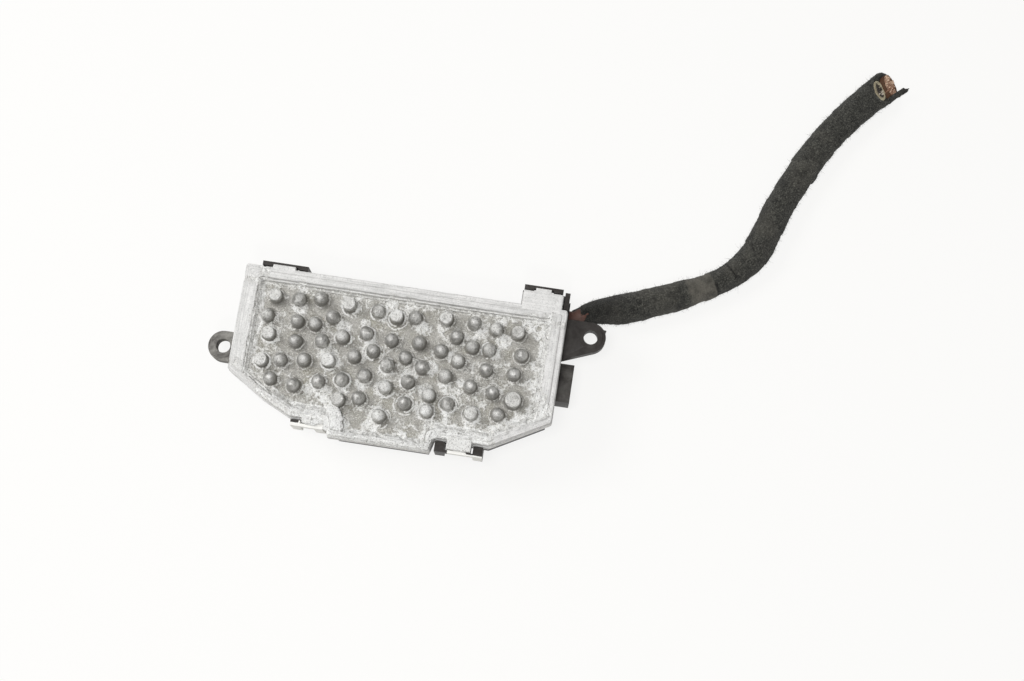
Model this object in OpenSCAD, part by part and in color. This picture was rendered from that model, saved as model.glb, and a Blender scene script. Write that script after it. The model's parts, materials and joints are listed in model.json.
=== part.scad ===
// Blower motor regulator: a cast pin-fin heat sink snapped onto a plastic housing with two mounting ears,
// a connector socket and a short taped loom of two cut wires. It lies with its pins up.
// Plan sizes are measured from the back left corner of the heat sink: X to the right, Y negative to the front.

/* [Heat sink outline] */
// Width of the heat sink plate
plate_w = 91; // [89:0.5:96]
// Depth of the plate, from the back edge to the front of its bulge
plate_d = 44.6; // [44:0.2:48]
// Length of the straight left side, before the corner is cut away
left_side = 30.2; // [29:0.2:31]
// Length of the straight right side, before the corner is cut away
right_side = 31.8; // [31:0.2:33]
// Width of the cut left corner
left_cut_w = 19.2; // [18:0.2:20]
// Width of the cut right corner
right_cut_w = 16.2; // [15:0.2:17]
// How far the front bulge stands out past the two clip edges
bulge_out = 3.7; // [3.4:0.1:4]
// Width of the front left clip edge
left_clip_edge = 10; // [9.8:0.1:12]
// Width of the front right clip edge
right_clip_edge = 15.2; // [14.4:0.2:17]
// Length of the tab on the back edge
tab_w = 11.3; // [11.2:0.1:12]
// How far the tab stands out past the back edge
tab_out = 4.2; // [4:0.1:4.6]
// From the end of the tab to the right side
tab_inset = 1.7; // [1.6:0.1:1.8]

/* [Heat sink section] */
// Thickness of the lower flange, which the housing carries
base_t = 3.1; // [2.6:0.1:3.6]
// Height of the groove between the two flanges
groove_h = 1.4; // [1:0.1:1.8]
// Depth of that groove
groove_d = 0.6; // [0.3:0.1:0.8]
// Thickness of the upper flange
rim_t = 2; // [1.6:0.1:2.6]
// How far the lower flange stands out past the upper one
base_lip = 0.2; // [0:0.05:0.3]
// Depth of the tray under the top of the rim
tray_depth = 3; // [2.4:0.1:3.4]
// Rim width along the back
rim_back = 3.2; // [2.6:0.1:3.4]
// Rim width along the two sides
rim_side = 4.3; // [3.4:0.1:4.6]
// Rim width along the cut corners and the clip edges
rim_cut = 2.2; // [1.8:0.1:2.6]
// Rim width round the bulge
rim_bulge = 1.3; // [1.2:0.1:1.8]
// Width of one step of the tray's wall
tray_step = 0.7; // [0.4:0.1:0.8]
// Width of the outer band of the rim
band_w = 1.4; // [1:0.1:1.8]
// How far the rest of the rim stands above that band
band_step = 0.3; // [0.2:0.05:0.5]

/* [Pins] */
// Height of the domed pins over the tray floor
pin_h = 5.5; // [4:0.1:8]
// Height of the flat pins over the tray floor
flat_pin_h = 5.2; // [4:0.1:8]
// Diameter of a pin at its top
pin_top_d = 3.4; // [2.8:0.1:3.6]
// Diameter of a pin at its foot
pin_foot_d = 3.8; // [3.4:0.1:4]
// Radius of the fillet round a pin's foot
pin_fillet = 0.4; // [0.2:0.05:0.5]

/* [Housing] */
// Height of the housing's wall
case_h = 17.5; // [17.2:0.1:20]
// Thickness of the housing's wall
case_wall = 1.8; // [1.6:0.1:2.2]
// Thickness of the housing's floor
case_floor = 2; // [1.6:0.1:2.4]
// How far the housing's wall stands back under the plate's edge
case_inset = 1.5; // [1.4:0.1:1.8]
// Thickness of the seal between the housing and the heat sink
seal_t = 0.5; // [0.3:0.1:0.8]
// How far the cable box stands out past the plate's back edge
cable_box_out = 5.4; // [5.3:0.1:6]
// Width of the cable box
cable_box_w = 13.5; // [13.3:0.1:14.5]
// Height of the corner post beside the tab, over the housing's wall
post_h = 4.5; // [3:0.1:5]

/* [Ears] */
// Diameter of the mounting holes
ear_hole_d = 4; // [3.4:0.1:4.6]
// Outer radius of the ears
ear_r = 4.3; // [3.8:0.1:4.8]
// Thickness of the ears
ear_t = 3.4; // [2.8:0.1:4]
// From the left side of the plate out to the left ear's hole
left_ear_x = 3.7; // [3.4:0.1:5]
// From the back edge to the left ear's hole
left_ear_y = 23.1; // [20:0.1:24]
// From the right side of the plate out to the right ear's hole
right_ear_x = 7.5; // [7:0.1:9]
// From the back edge to the right ear's hole
right_ear_y = 5.2; // [5.1:0.1:6.4]
// Width of the right ear's root
right_ear_root = 12.7; // [11.5:0.1:14]
// Outer radius of the raised pad round each hole
ear_pad_r = 3.3; // [2.8:0.1:3.4]
// Height of that pad
ear_pad_h = 0.2; // [0.1:0.05:0.4]

/* [Snap loops] */
// Width of a loop's legs
leg_w = 2.7; // [2.2:0.1:2.8]
// Thickness of a loop's bar
bar_t = 0.8; // [0.6:0.1:0.9]
// Height of a loop's bar
bar_h = 2.6; // [2:0.1:2.8]
// Gap between a loop and the heat sink
loop_gap = 0.4; // [0.3:0.05:0.5]
// Gap on each side of a lug in its loop
lug_gap = 0.6; // [0.4:0.05:0.8]

/* [Connector socket] */
// Width of the socket outside
socket_w = 11; // [10.6:0.1:12]
// Height of the socket outside
socket_h = 9.2; // [8.8:0.1:10]
// Height of the socket's lower face over the base
socket_z = 3.4; // [3.2:0.1:4]
// Wall of the socket
socket_wall = 1.2; // [1:0.1:1.3]
// How far the socket stands out past the plate's right side
socket_out = 4.2; // [4:0.1:6]
// Depth of the socket
socket_depth = 11.2; // [10.6:0.1:12]
// From the back edge to the middle of the socket
socket_y = 18.5; // [18:0.1:19.5]
// Length of the contacts inside the socket
contact_l = 6.6; // [5:0.1:6.8]

/* [Electronics] */
// Thickness of the circuit board
board_t = 1.6; // [1.2:0.1:1.8]
// Height of the pillars that carry the board
pillar_h = 1.4; // [1.2:0.1:2]
// Gap between the board and the housing's wall
board_gap = 0.5; // [0.3:0.1:0.8]
// Diameter of the board screws
screw_d = 2.2; // [2:0.1:2.6]
// Thickness of the transistors
transistor_t = 4.4; // [4:0.1:4.8]
// Width of the transistors
transistor_w = 10; // [9:0.1:11]
// Length of the transistors with their metal tab
transistor_l = 15.5; // [14:0.1:16]
// Thickness of the heat-conducting pads
pad_t = 0.3; // [0.2:0.05:0.5]
// Thickness of the clamp spring
spring_t = 0.8; // [0.5:0.1:1]
// Diameter of the capacitors
capacitor_d = 10; // [8:0.5:10]
// Length of the capacitors
capacitor_l = 16; // [12:0.5:16]
// Diameter of the choke
choke_d = 12; // [9:0.5:12]
// Height of the choke
choke_h = 10; // [7:0.5:11]

/* [Loom] */
// Diameter of one insulated wire
wire_d = 4.4; // [3.8:0.1:4.4]
// Diameter of a wire's copper core
core_d = 3; // [2.4:0.1:3.2]
// Width of the taped loom where it begins
loom_w_start = 8.3; // [7.8:0.1:8.8]
// Width of the taped loom at its cut end
loom_w_end = 9.5; // [8.9:0.1:10.2]
// Height of the taped loom where it begins
loom_h_start = 9.2; // [9:0.1:9.6]
// Height of the taped loom at its cut end
loom_h_end = 7.8; // [7.4:0.1:8]
// How far the top of the cut end lies behind its middle
cut_lean = 3.2; // [0:0.1:4]
// How far the copper cores stick out of the cut end
core_stub = 1.2; // [0.6:0.1:2]

/* [Hidden] */
$fn = 40;
eps = 0.01;
fit = 0.05;

// Heights
base_z = case_h + seal_t;
groove_z = base_z + base_t;
rim_z = groove_z + groove_h;
top_z = rim_z + rim_t;
band_z = top_z - band_step;
tray_z = top_z - tray_depth;

// Plan places of the plate's corners
front_y = -(plate_d - bulge_out);
bulge_x0 = left_cut_w + left_clip_edge;
bulge_x1 = plate_w - right_cut_w - right_clip_edge;
knee = [0.57 * left_cut_w, -left_side - 0.64 * (plate_d - bulge_out - left_side)];
tab_x1 = plate_w - tab_inset;
tab_x0 = tab_x1 - tab_w;
bulge_taper = 0.9;

body_outline = [
    [0, 0], [plate_w, 0], [plate_w, -right_side], [plate_w - right_cut_w, front_y],
    [bulge_x1, front_y], [bulge_x1 - bulge_taper, -plate_d], [bulge_x0 + bulge_taper, -plate_d],
    [bulge_x0, front_y], [left_cut_w, front_y], knee, [0, -left_side]
];
plate_outline = concat(
    [[0, 0], [tab_x0, 0], [tab_x0, tab_out], [tab_x1, tab_out], [tab_x1, 0]],
    [for (i = [1:len(body_outline) - 1]) body_outline[i]]
);

// One rim width for each edge of the body outline, beginning with the back edge
rim_widths = [rim_back, rim_side, rim_cut, rim_cut, rim_bulge, rim_bulge, rim_bulge, rim_cut, rim_cut, rim_cut, rim_side];

// Housing outline: the body outline set back, with the cable box at the back right corner
case_body = inset(body_outline, case_inset);
cable_box_x1 = plate_w + 0.1;
cable_box_x0 = cable_box_x1 - cable_box_w;
cable_box_y0 = -1.2;
case_outline = concat(
    [case_body[0], [cable_box_x0, case_body[0].y], [cable_box_x0, cable_box_out], [cable_box_x1, cable_box_out]],
    [[cable_box_x1, cable_box_y0], [case_body[1].x, cable_box_y0]],
    [for (i = [2:len(case_body) - 1]) case_body[i]]
);

// Place in plan given across in percent of the plate's width and forward in percent of its depth
function place(p) = [p.x * plate_w / 100, -p.y * plate_d / 100];

// Pins, row by row from the back: across in percent of the plate's width, forward in percent of its depth
domed_pins = [
    [18, 18], [24.5, 15.5], [42.5, 18], [54, 18.5], [72.3, 16.7], [79.2, 18.6],
    [9.2, 30.8], [18.5, 32], [24, 32], [29, 26], [33, 37.5], [40, 33], [48, 35], [56.5, 34], [63.5, 37],
    [67.5, 27], [72.8, 31.8], [78, 32], [88, 32.5],
    [19, 44.5], [27, 42], [37.5, 48.5], [43, 43.5], [48, 51], [53, 44.5], [58.5, 49], [69.2, 42],
    [78, 45], [86.5, 45],
    [15.5, 57.5], [22.5, 55.5], [41.5, 59.5], [55, 59.5], [66, 52.5], [74, 56.5], [81, 58.5],
    [13.3, 70], [20.7, 72], [28, 67.5], [35, 64], [41, 74], [48.5, 65], [55, 73], [62, 66], [68, 69.5],
    [83.5, 71.5], [62, 76], [48, 83.5]
];
flat_pins = [
    [10.7, 18.1], [33.5, 17], [48.5, 20], [63.6, 16.6], [86, 19],
    [10.6, 42.4], [9.8, 59.6], [30, 54], [35, 77], [75.5, 73.5]
];
wide_pins = [[87.5, 61.5]];
wide_pin_d = 4.3;

// Snap loops: place in plan, direction they face, width, reach past the edge, wall's distance behind the edge
back_loop_reach = 1.8;
tab_loop_reach = 1.9;
left_loop_reach = 2.2;
right_loop_reach = 3.4;
loops = [
    [[10.6, 0], 0, 13, back_loop_reach, case_inset],
    [[tab_x0 + tab_w / 2 - 0.1, tab_out], 0, 11, tab_loop_reach, tab_out - cable_box_out],
    [[left_cut_w + left_clip_edge / 2, front_y], 180, left_clip_edge - 0.8, left_loop_reach, case_inset],
    [[bulge_x1 + right_clip_edge / 2 - 0.4, front_y], 180, right_clip_edge - 1.8, right_loop_reach, case_inset]
];
loop_top = rim_z;
bar_z = loop_top - bar_h;
lug_root = 0.4;
lug_fit = 0.15;
barb_h = 1.3;
barb_out = 0.6;
barb_slope = 0.4;
barb_gap = 0.1;
arm_top = case_h - 0.3;
arm_h = 3.4;

// Underside of the casting: a locating rib inside the housing's wall and the boss of the clamp screw
rib_gap = 0.25;
rib_w = 1.2;
rib_h = 1.7;
clamp_hole = 5.6;

// Ears
ear_top = case_h - 0.5;
ear_z = ear_top - ear_t;
left_ear = [-left_ear_x, -left_ear_y];
right_ear = [plate_w + right_ear_x, -right_ear_y];
ear_nub = 0.6;
nub_turn = 32;

// Connector socket
case_right = case_body[1].x;
socket_x1 = plate_w + socket_out;
socket_x0 = socket_x1 - socket_depth;
socket_back = 1.5;
contact_span = 2.6;
supply_t = 0.8;
supply_h = 5.6;
signal_t = 1;
signal_h = 3.5;

// Electronics
board_top = case_floor + pillar_h + board_t;
board_x1 = socket_x0 - socket_back - board_gap;
board_outline = inset(body_outline, case_inset + case_wall + board_gap);
board_screws = [place([10.4, 20.2]), place([84, 19]), [place([47.3, 0]).x, front_y + 2]];
screw_clearance = 0.5;
transistor_pitch = 18;
transistor_mid = place([39.5, 20.2]);
transistors = [for (s = [-1, 1]) transistor_mid + [s * transistor_pitch / 2, 0]];
transistor_z = base_z - pad_t;
clamp_back = 11;
clamp_at = transistor_mid - [0, clamp_back];
clamp_w = 6;
clamp_boss_r = 2.9;
clamp_screw_d = 2.8;
clamp_screw_l = 5;
capacitors = [place([59.3, 23.5]), place([59.3, 52.7])];
lead_w = 0.6;
choke_at = place([14.3, 49.3]);
disc_t = 1.5;
shunt_at = [transistor_mid.x, place([0, 58.3]).y];
shunt_w = 4;
chip_at = place([66, 74]);
diode_at = place([17, 21.3]);
diode_r = 2.6;
diode_l = 9;
lead_reach = 2;

// Cable exit: two wires, one over the other, leave through the right face of the cable box
exit_at = [cable_box_x1, 1.4, case_floor + 6];
wire_gap = 0.4;
wire_pitch = wire_d + wire_gap;
end_pitch = 3.8;
grommet_wall = 1;
grommet_out = 0.4;
grommet_lip = 0.5;

// Strips that join the wires to the board, beside each other in the cable box
strip_w = 2.2;
strip_gap = 0.8;
strip_wall_gap = 0.4;
strip_x = [for (i = [0, 1]) cable_box_x0 + case_wall + strip_wall_gap + i * (strip_w + strip_gap)];
core_over = 0.2;
wire_x0 = strip_x[1] + strip_w + 0.5;

// Route of the loom's middle, as steps from the cable exit
wire_steps = [[1, 0, 0], [2.5, 0.075, 0], [3.8, 0.75, -0.05]];
loom_steps = [
    [3.8, 0.75, -0.05], [6.4, 2.1, -0.35], [9.5, 3.5, -1], [16, 5.5, -2.2], [23, 8.5, -3.2], [30, 11.5, -3.8], [37, 15, -4],
    [43, 18.5, -4], [48, 23, -4], [52, 28.5, -4], [54.5, 35.5, -4], [57.5, 44, -4], [61, 52, -4],
    [65.5, 61, -4], [70.5, 69, -4], [77, 77, -4], [84, 84.5, -4]
];
loom_last = len(loom_steps) - 1;

// Where the tape draws the loom in: share of its even width at each step
loom_waist = [0.68, 0.82, 0.9, 1.06, 1.02, 1, 0.87, 0.86, 0.92, 0.97, 0.96, 0.95, 0.96, 0.96, 0.96, 0.96, 1];
loom_sides = 12;
wire_sides = 10;

// The part's origin is the middle of the object's base, without the loom
left_end = left_ear.x - ear_r;
right_end = right_ear.x + max(ear_r, (ear_r + ear_nub) * cos(nub_turn));
back_end = tab_out + tab_loop_reach;
front_end = front_y - right_loop_reach;
middle = [(left_end + right_end) / 2, (back_end + min(front_end, -plate_d - base_lip)) / 2, 0];

// Unit vector along v
function unit(v) = v / norm(v);

// Inward normal of an edge of a clockwise outline
function edge_normal(a, b) = let (u = unit(b - a)) [u.y, -u.x];

// Corner where the edges a-b and b-c meet after they move inwards by ga and gb
function moved_corner(a, b, c, ga, gb) =
    let (
        u = unit(b - a),
        v = unit(c - b),
        p = b + ga * edge_normal(a, b),
        q = b + gb * edge_normal(b, c),
        turn = u.x * v.y - u.y * v.x
    )
    abs(turn) < 0.001 ? p : p + u * ((q.x - p.x) * v.y - (q.y - p.y) * v.x) / turn;

// Outline with each edge moved inwards, by one distance or by a list with one for each edge
function inset(outline, by) =
    let (n = len(outline))
    [for (i = [0:n - 1])
        moved_corner(
            outline[(i + n - 1) % n], outline[i], outline[(i + 1) % n],
            is_list(by) ? by[(i + n - 1) % n] : by, is_list(by) ? by[i] : by
        )];

// The same list of rim widths with one distance added to each
function widened(widths, by) = [for (w = widths) w + by];

// Level direction of a route at its point i
function heading(route, i) =
    let (step = route[min(i + 1, len(route) - 1)] - route[max(i - 1, 0)])
    unit([step.x, step.y, 0]);

// Ring of points round a route's point: it stands upright, or its top leans back by a distance
function ring(at, way, w, h, sides, lean) =
    [for (k = [0:sides - 1])
        at + [way.y, -way.x, 0] * cos(360 * k / sides) * w / 2
            + ([0, 0, h / 2] - way * lean) * sin(360 * k / sides)];

// Height of the loom's section at a point of its route
function loom_h(i) = loom_h_start + (loom_h_end - loom_h_start) * i / loom_last;

// Width of the loom's section at a point of its route
function loom_w(i) = (loom_w_start + (loom_w_end - loom_w_start) * i / loom_last) * loom_waist[i];

// Middle of the loom at a point of its route: it comes down until the loom lies on the table
function loom_point(i) =
    let (p = exit_at + loom_steps[i])
    [p.x, p.y, max(p.z, loom_h(i) / 2 + fit)];

// Solid swept along a route, with a width and a height at each point and the lean of its two end faces
module swept(route, widths, heights, sides, leans = [0, 0]) {
    last = len(route) - 1;
    points = [for (i = [0:last])
        each ring(
            route[i], heading(route, i), widths[i], heights[i],
            sides, i == 0 ? leans[0] : i == last ? leans[1] : 0
        )];
    walls = [for (i = [0:last - 1], k = [0:sides - 1])
        [i * sides + k, (i + 1) * sides + k, (i + 1) * sides + (k + 1) % sides, i * sides + (k + 1) % sides]];
    first_cap = [for (k = [0:sides - 1]) k];
    last_cap = [for (k = [sides - 1:-1:0]) last * sides + k];
    polyhedron(points, concat([first_cap, last_cap], walls));
}

// Everything is drawn from the plate's corner, then moved so that the origin is under its middle
module placed() {
    translate(-middle) children();
}

// Plate of an outline between two heights
module slab(outline, z0, z1) {
    translate([0, 0, z0]) linear_extrude(z1 - z0) polygon(outline);
}

// Ring wall between two outlines
module wall(outer, inner, z0, z1) {
    difference() {
        slab(outer, z0, z1);
        slab(inner, z0 - 1, z1 + 1);
    }
}

// Block given by its lowest and highest corners
module block(low, high) {
    translate(low) cube(high - low);
}

// Place and direction of a snap loop, with Y pointing out of the plate's edge
module at_loop(l) {
    translate(l[0]) rotate(l[1]) children();
}

// Cast pin with a filleted foot and a draft: its top is domed or flat
module pin(height, top_d, foot_d, dome) {
    sink = 0.5;
    top_r = top_d / 2;
    foot_r = foot_d / 2;
    crown = dome ? [for (a = [0:30:60]) [top_r * cos(a), height - top_r * 0.7 * (1 - sin(a))]]
        : [[top_r, height - 0.25], [top_r - 0.25, height]];
    rotate_extrude($fn = 28)
        polygon(concat(
            [[0, -sink], [foot_r + pin_fillet, -sink], [foot_r + pin_fillet, 0]],
            [[foot_r + 0.3 * pin_fillet, 0.3 * pin_fillet], [foot_r, pin_fillet]],
            crown, [[0, height]]
        ));
}

// Pins of one form, each at its share of the plate
module pin_field(places, height, top_d, foot_d, dome) {
    for (p = places)
        translate([place(p).x, place(p).y, tray_z]) pin(height, top_d, foot_d, dome);
}

// Lug of the casting: it fills a loop's window and hooks its barb under the bar
module lug(l) {
    w = l[2] - 2 * leg_w - 2 * lug_gap;
    out = l[3] - bar_t - lug_fit;
    top = bar_z - barb_gap;
    foot = top - barb_h;
    hook = out + barb_out;
    at_loop(l)
        translate([-w / 2, 0, 0])
            rotate([90, 0, 90])
                linear_extrude(w)
                    polygon([
                        [-lug_root, foot], [out, foot], [hook, top - barb_slope], [hook, top], [out, top],
                        [out, band_z], [-lug_root, band_z]
                    ]);
}

module heat_sink() {
    opening = inset(body_outline, rim_widths);
    rib_inset = case_wall + rib_gap;
    boss_z = transistor_z - transistor_t;
    color("silver")
        difference() {
            union() {
                slab(inset(plate_outline, -base_lip), base_z, groove_z);
                slab(inset(plate_outline, groove_d), groove_z - eps, rim_z + eps);
                slab(plate_outline, rim_z, band_z);
                slab(inset(body_outline, band_w), band_z - eps, top_z);
                wall(
                    inset(case_outline, rib_inset), inset(case_outline, rib_inset + rib_w), base_z - rib_h, base_z + eps
                );
                translate([clamp_at.x, clamp_at.y, boss_z]) cylinder(r = clamp_boss_r, h = base_z - boss_z + eps);
                for (l = loops) lug(l);
            }
            slab(opening, top_z - tray_depth * 0.35, top_z + 1);
            slab(inset(body_outline, widened(rim_widths, tray_step)), top_z - tray_depth * 0.7, top_z);
            slab(inset(body_outline, widened(rim_widths, 2 * tray_step)), tray_z, top_z);
            translate([clamp_at.x, clamp_at.y, boss_z - eps]) cylinder(d = clamp_screw_d + 2 * fit, h = clamp_hole);
        }
    color("gray") {
        pin_field(domed_pins, pin_h, pin_top_d, pin_foot_d, true);
        pin_field(flat_pins, flat_pin_h, pin_top_d, pin_foot_d, false);
        pin_field(wide_pins, flat_pin_h, wide_pin_d, wide_pin_d + pin_foot_d - pin_top_d, false);
    }
}

// Snap loop of the housing: two legs rise past the plate's edge and a bar joins them round the lug
module snap_loop(l) {
    w = l[2];
    out = l[3];
    wall_y = -l[4];
    at_loop(l) {
        for (s = [-1, 1])
            translate([s * (w - leg_w) / 2, 0, 0]) {
                block([-leg_w / 2, wall_y - 0.5, arm_top - arm_h], [leg_w / 2, out, arm_top]);
                block([-leg_w / 2, base_lip + loop_gap, arm_top - arm_h], [leg_w / 2, out, loop_top]);
            }
        block([-w / 2, out - bar_t, bar_z], [w / 2, out, loop_top]);
    }
}

// Raised pad round an ear's hole, on which the screw's counterpart bears
module ear_pad(e) {
    translate([e.x, e.y, ear_top - eps]) cylinder(r = ear_pad_r, h = ear_pad_h + eps, $fn = 64);
}

// Left ear: a round end on a straight neck
module left_ear_body() {
    translate([left_ear.x, left_ear.y, ear_z]) cylinder(r = ear_r, h = ear_t, $fn = 64);
    ear_pad(left_ear);
    block([left_ear.x, left_ear.y - ear_r, ear_z], [case_inset + 0.5, left_ear.y + ear_r, ear_top]);
    translate([case_inset + 0.5, left_ear.y + 0.8, 0])
        rotate([90, 0, 0])
            linear_extrude(1.6)
                polygon([[0, ear_z - 5], [0, ear_z + eps], [-case_inset - 1.4, ear_z + eps]]);
}

// Right ear: straight along its back, and tapering from a wide root along its front
module right_ear_body() {
    root = [case_right - 0.5, right_ear.y + ear_r - right_ear_root];
    reach = norm(right_ear - root);
    lean = atan2(right_ear.y - root.y, right_ear.x - root.x) - asin(ear_r / reach);
    touch = root + sqrt(reach * reach - ear_r * ear_r) * [cos(lean), sin(lean)];
    translate([right_ear.x, right_ear.y, ear_z]) cylinder(r = ear_r, h = ear_t, $fn = 64);
    ear_pad(right_ear);
    slab([[root.x, right_ear.y + ear_r], [right_ear.x, right_ear.y + ear_r], right_ear, touch, root], ear_z, ear_top);
    translate([right_ear.x, right_ear.y, ear_z])
        rotate(nub_turn)
            linear_extrude(ear_t) polygon([[ear_r - 1, 1.3], [ear_r + ear_nub, 0], [ear_r - 1, -1.3]]);
    for (y = [right_ear.y + ear_r - 2.6, right_ear.y - ear_r - 1])
        translate([case_right - 0.5, y + 0.8, 0])
            rotate([90, 0, 0])
                linear_extrude(1.6) polygon([[0, ear_z - 4.5], [0, ear_z + eps], [right_ear_x - 2.4, ear_z + eps]]);
}

// Outside of the connector socket, with the two raised lines on its top
module socket_body() {
    top = socket_z + socket_h;
    low_y = -socket_y - socket_w / 2;
    high_y = -socket_y + socket_w / 2;
    block([socket_x0 - socket_back, low_y, socket_z], [socket_x1, high_y, top]);
    block([plate_w + 0.8, low_y + 1.2, top - eps], [plate_w + 1.2, high_y - 1, top + 0.3]);
    block([plate_w - 1, low_y + 1.6, top - eps], [socket_x1 - 0.4, low_y + 2.1, top + 0.3]);
}

// Hollow of the socket and the slots of its contacts
module socket_hollow() {
    block(
        [socket_x0, -socket_y - socket_w / 2 + socket_wall, socket_z + socket_wall],
        [socket_x1 + 1, -socket_y + socket_w / 2 - socket_wall, socket_z + socket_h - socket_wall]
    );
    for (s = [-1, 1]) contact_bar(s * contact_span, supply_t, supply_h, fit);
    contact_bar(0, signal_t, signal_h, fit);
}

// Bar of a contact from over the board into the socket, or its slot when it is grown by a gap
module contact_bar(y, t, h, grow) {
    block(
        [board_x1 - 4, -socket_y + y - t / 2 - grow, board_top - grow],
        [socket_x0 + contact_l, -socket_y + y + t / 2 + grow, board_top + h + grow]
    );
}

// Shape of the grommet round both wires, in the right face of the cable box
module grommet_shape(r, x0, x1) {
    for (s = [-1, 1])
        translate([x0, exit_at.y, exit_at.z + s * wire_pitch / 2]) rotate([0, 90, 0]) cylinder(r = r, h = x1 - x0);
}

module housing() {
    inner = inset(case_outline, case_wall);
    grommet_r = wire_d / 2 + grommet_wall;
    color([0.13, 0.13, 0.14])
        difference() {
            union() {
                difference() {
                    union() {
                        slab(inset(case_outline, 0.5), 0, 1 + eps);
                        slab(case_outline, 1, case_h);
                    }
                    slab(inner, case_floor, case_h + 1);
                }
                block([tab_x1 + 0.4, base_lip + 0.4, case_h - 6], [cable_box_x1, cable_box_out, case_h + post_h]);
                for (p = board_screws)
                    translate([p.x, p.y, case_floor - eps]) cylinder(d = screw_d + 3.4, h = pillar_h + eps);
                for (l = loops) snap_loop(l);
                left_ear_body();
                right_ear_body();
                socket_body();
            }
            for (e = [left_ear, right_ear])
                translate([e.x, e.y, ear_z - 1]) cylinder(d = ear_hole_d, h = ear_t + 2, $fn = 64);
            for (p = board_screws)
                translate([p.x, p.y, case_floor - 1]) cylinder(d = screw_d + 2 * fit, h = pillar_h + 2);
            socket_hollow();
            grommet_shape(grommet_r + fit, case_right - case_wall - 1, cable_box_x1 + 1);
        }
}

module seal_ring() {
    color([0.2, 0.2, 0.2])
        intersection() {
            wall(inset(case_outline, 0.1), inset(case_outline, case_wall - 0.1), case_h, base_z);
            slab(inset(plate_outline, 0.1), case_h - 1, base_z + 1);
        }
}

module circuit_board() {
    color([0.1, 0.35, 0.2])
        difference() {
            slab(board_outline, case_floor + pillar_h, board_top);
            block(
                [board_x1, -socket_y - socket_w / 2 - board_gap, 0],
                [plate_w, -socket_y + socket_w / 2 + board_gap, case_h]
            );
            for (p = board_screws)
                translate([p.x, p.y, 0]) cylinder(d = screw_d + screw_clearance, h = case_h);
        }
}

// Pan head screw, standing on the board, with a cross cut in its head
module board_screw(p) {
    head_d = screw_d * 1.9;
    head_h = 1.6;
    color("silver")
        translate([p.x, p.y, board_top])
            difference() {
                union() {
                    rotate_extrude()
                        polygon([[0, 0], [head_d / 2, 0], [head_d / 2, head_h * 0.6], [head_d / 3, head_h], [0, head_h]]);
                    translate([0, 0, -board_t - pillar_h - 0.5]) cylinder(d = screw_d, h = board_t + pillar_h + 0.6);
                }
                for (a = [0, 90])
                    rotate(a) block([-head_d * 0.3, -0.25, head_h - 0.8], [head_d * 0.3, 0.25, head_h + 1]);
            }
}

// Transistor, its metal back up against the pad, with three legs bent down to the board
module power_transistor(p) {
    back_t = 1.3;
    tab_l = 6.5;
    leg_z = transistor_z - transistor_t + 1.8;
    half = transistor_w / 2;
    color([0.2, 0.2, 0.22])
        translate([p.x, p.y, 0]) {
            difference() {
                block([-half, -transistor_l, transistor_z - back_t], [half, 0, transistor_z]);
                translate([0, -2.8, 0]) cylinder(d = 3.6, h = base_z + 1);
            }
            block([-half, -transistor_l, transistor_z - transistor_t], [half, -tab_l, transistor_z - back_t + eps]);
            for (x = [-2.54, 0, 2.54]) {
                block([x - 0.4, -transistor_l - 3, leg_z], [x + 0.4, -transistor_l + 0.5, leg_z + 0.5]);
                block([x - 0.4, -transistor_l - 3.5, board_top], [x + 0.4, -transistor_l - 3, leg_z + 0.5]);
            }
        }
}

module thermal_pad(p) {
    color([0.75, 0.78, 0.8])
        block([p.x - transistor_w / 2 - 0.5, p.y - transistor_l - 0.5, transistor_z],
            [p.x + transistor_w / 2 + 0.5, p.y + 0.5, base_z]);
}

// Leaf spring across both transistors, screwed to the boss between them
module clamp_spring() {
    seat = transistor_z - transistor_t;
    half = (transistors[1].x - transistors[0].x) / 2 + transistor_w / 2 - 1;
    color([0.6, 0.62, 0.65])
        difference() {
            union() {
                block([clamp_at.x - half, clamp_at.y - clamp_w / 2, seat - spring_t],
                    [clamp_at.x + half, clamp_at.y + clamp_w / 2, seat]);
                for (s = [-1, 1])
                    translate([clamp_at.x + s * half, clamp_at.y, 0])
                        block([-spring_t / 2, -clamp_w / 2, seat - 1.8], [spring_t / 2, clamp_w / 2, seat - eps]);
            }
            translate([clamp_at.x, clamp_at.y, 0]) cylinder(d = clamp_screw_d + 0.4, h = base_z);
        }
}

module clamp_screw() {
    seat = transistor_z - transistor_t - spring_t;
    head_h = 2;
    color("silver")
        translate([clamp_at.x, clamp_at.y, seat - head_h])
            difference() {
                union() {
                    cylinder(d = clamp_screw_d * 1.9, h = head_h);
                    cylinder(d = clamp_screw_d, h = head_h + spring_t + clamp_screw_l);
                }
                translate([0, 0, -1]) cylinder(d = 2.4, h = 2.1, $fn = 6);
            }
}

// Electrolytic capacitor lying on the board: a rolled groove near its rubber end and two bent legs
module capacitor(p) {
    r = capacitor_d / 2;
    color([0.1, 0.12, 0.3])
        translate([p.x, p.y, board_top + r]) {
            rotate([0, 90, 0])
                rotate_extrude()
                    polygon([
                        [0, 0], [r - 0.4, 0], [r, 0.4], [r, capacitor_l - 3], [r - 0.5, capacitor_l - 2.5],
                        [r - 0.5, capacitor_l - 2], [r, capacitor_l - 1.5], [r, capacitor_l - 0.3],
                        [r - 0.6, capacitor_l], [0, capacitor_l]
                    ]);
            for (s = [-1, 1])
                translate([capacitor_l, s * r / 2, 0]) {
                    block([-1, -lead_w / 2, -lead_w / 2], [lead_reach, lead_w / 2, lead_w / 2]);
                    block([lead_reach - lead_w, -lead_w / 2, -r], [lead_reach, lead_w / 2, lead_w / 2]);
                }
        }
}

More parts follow.
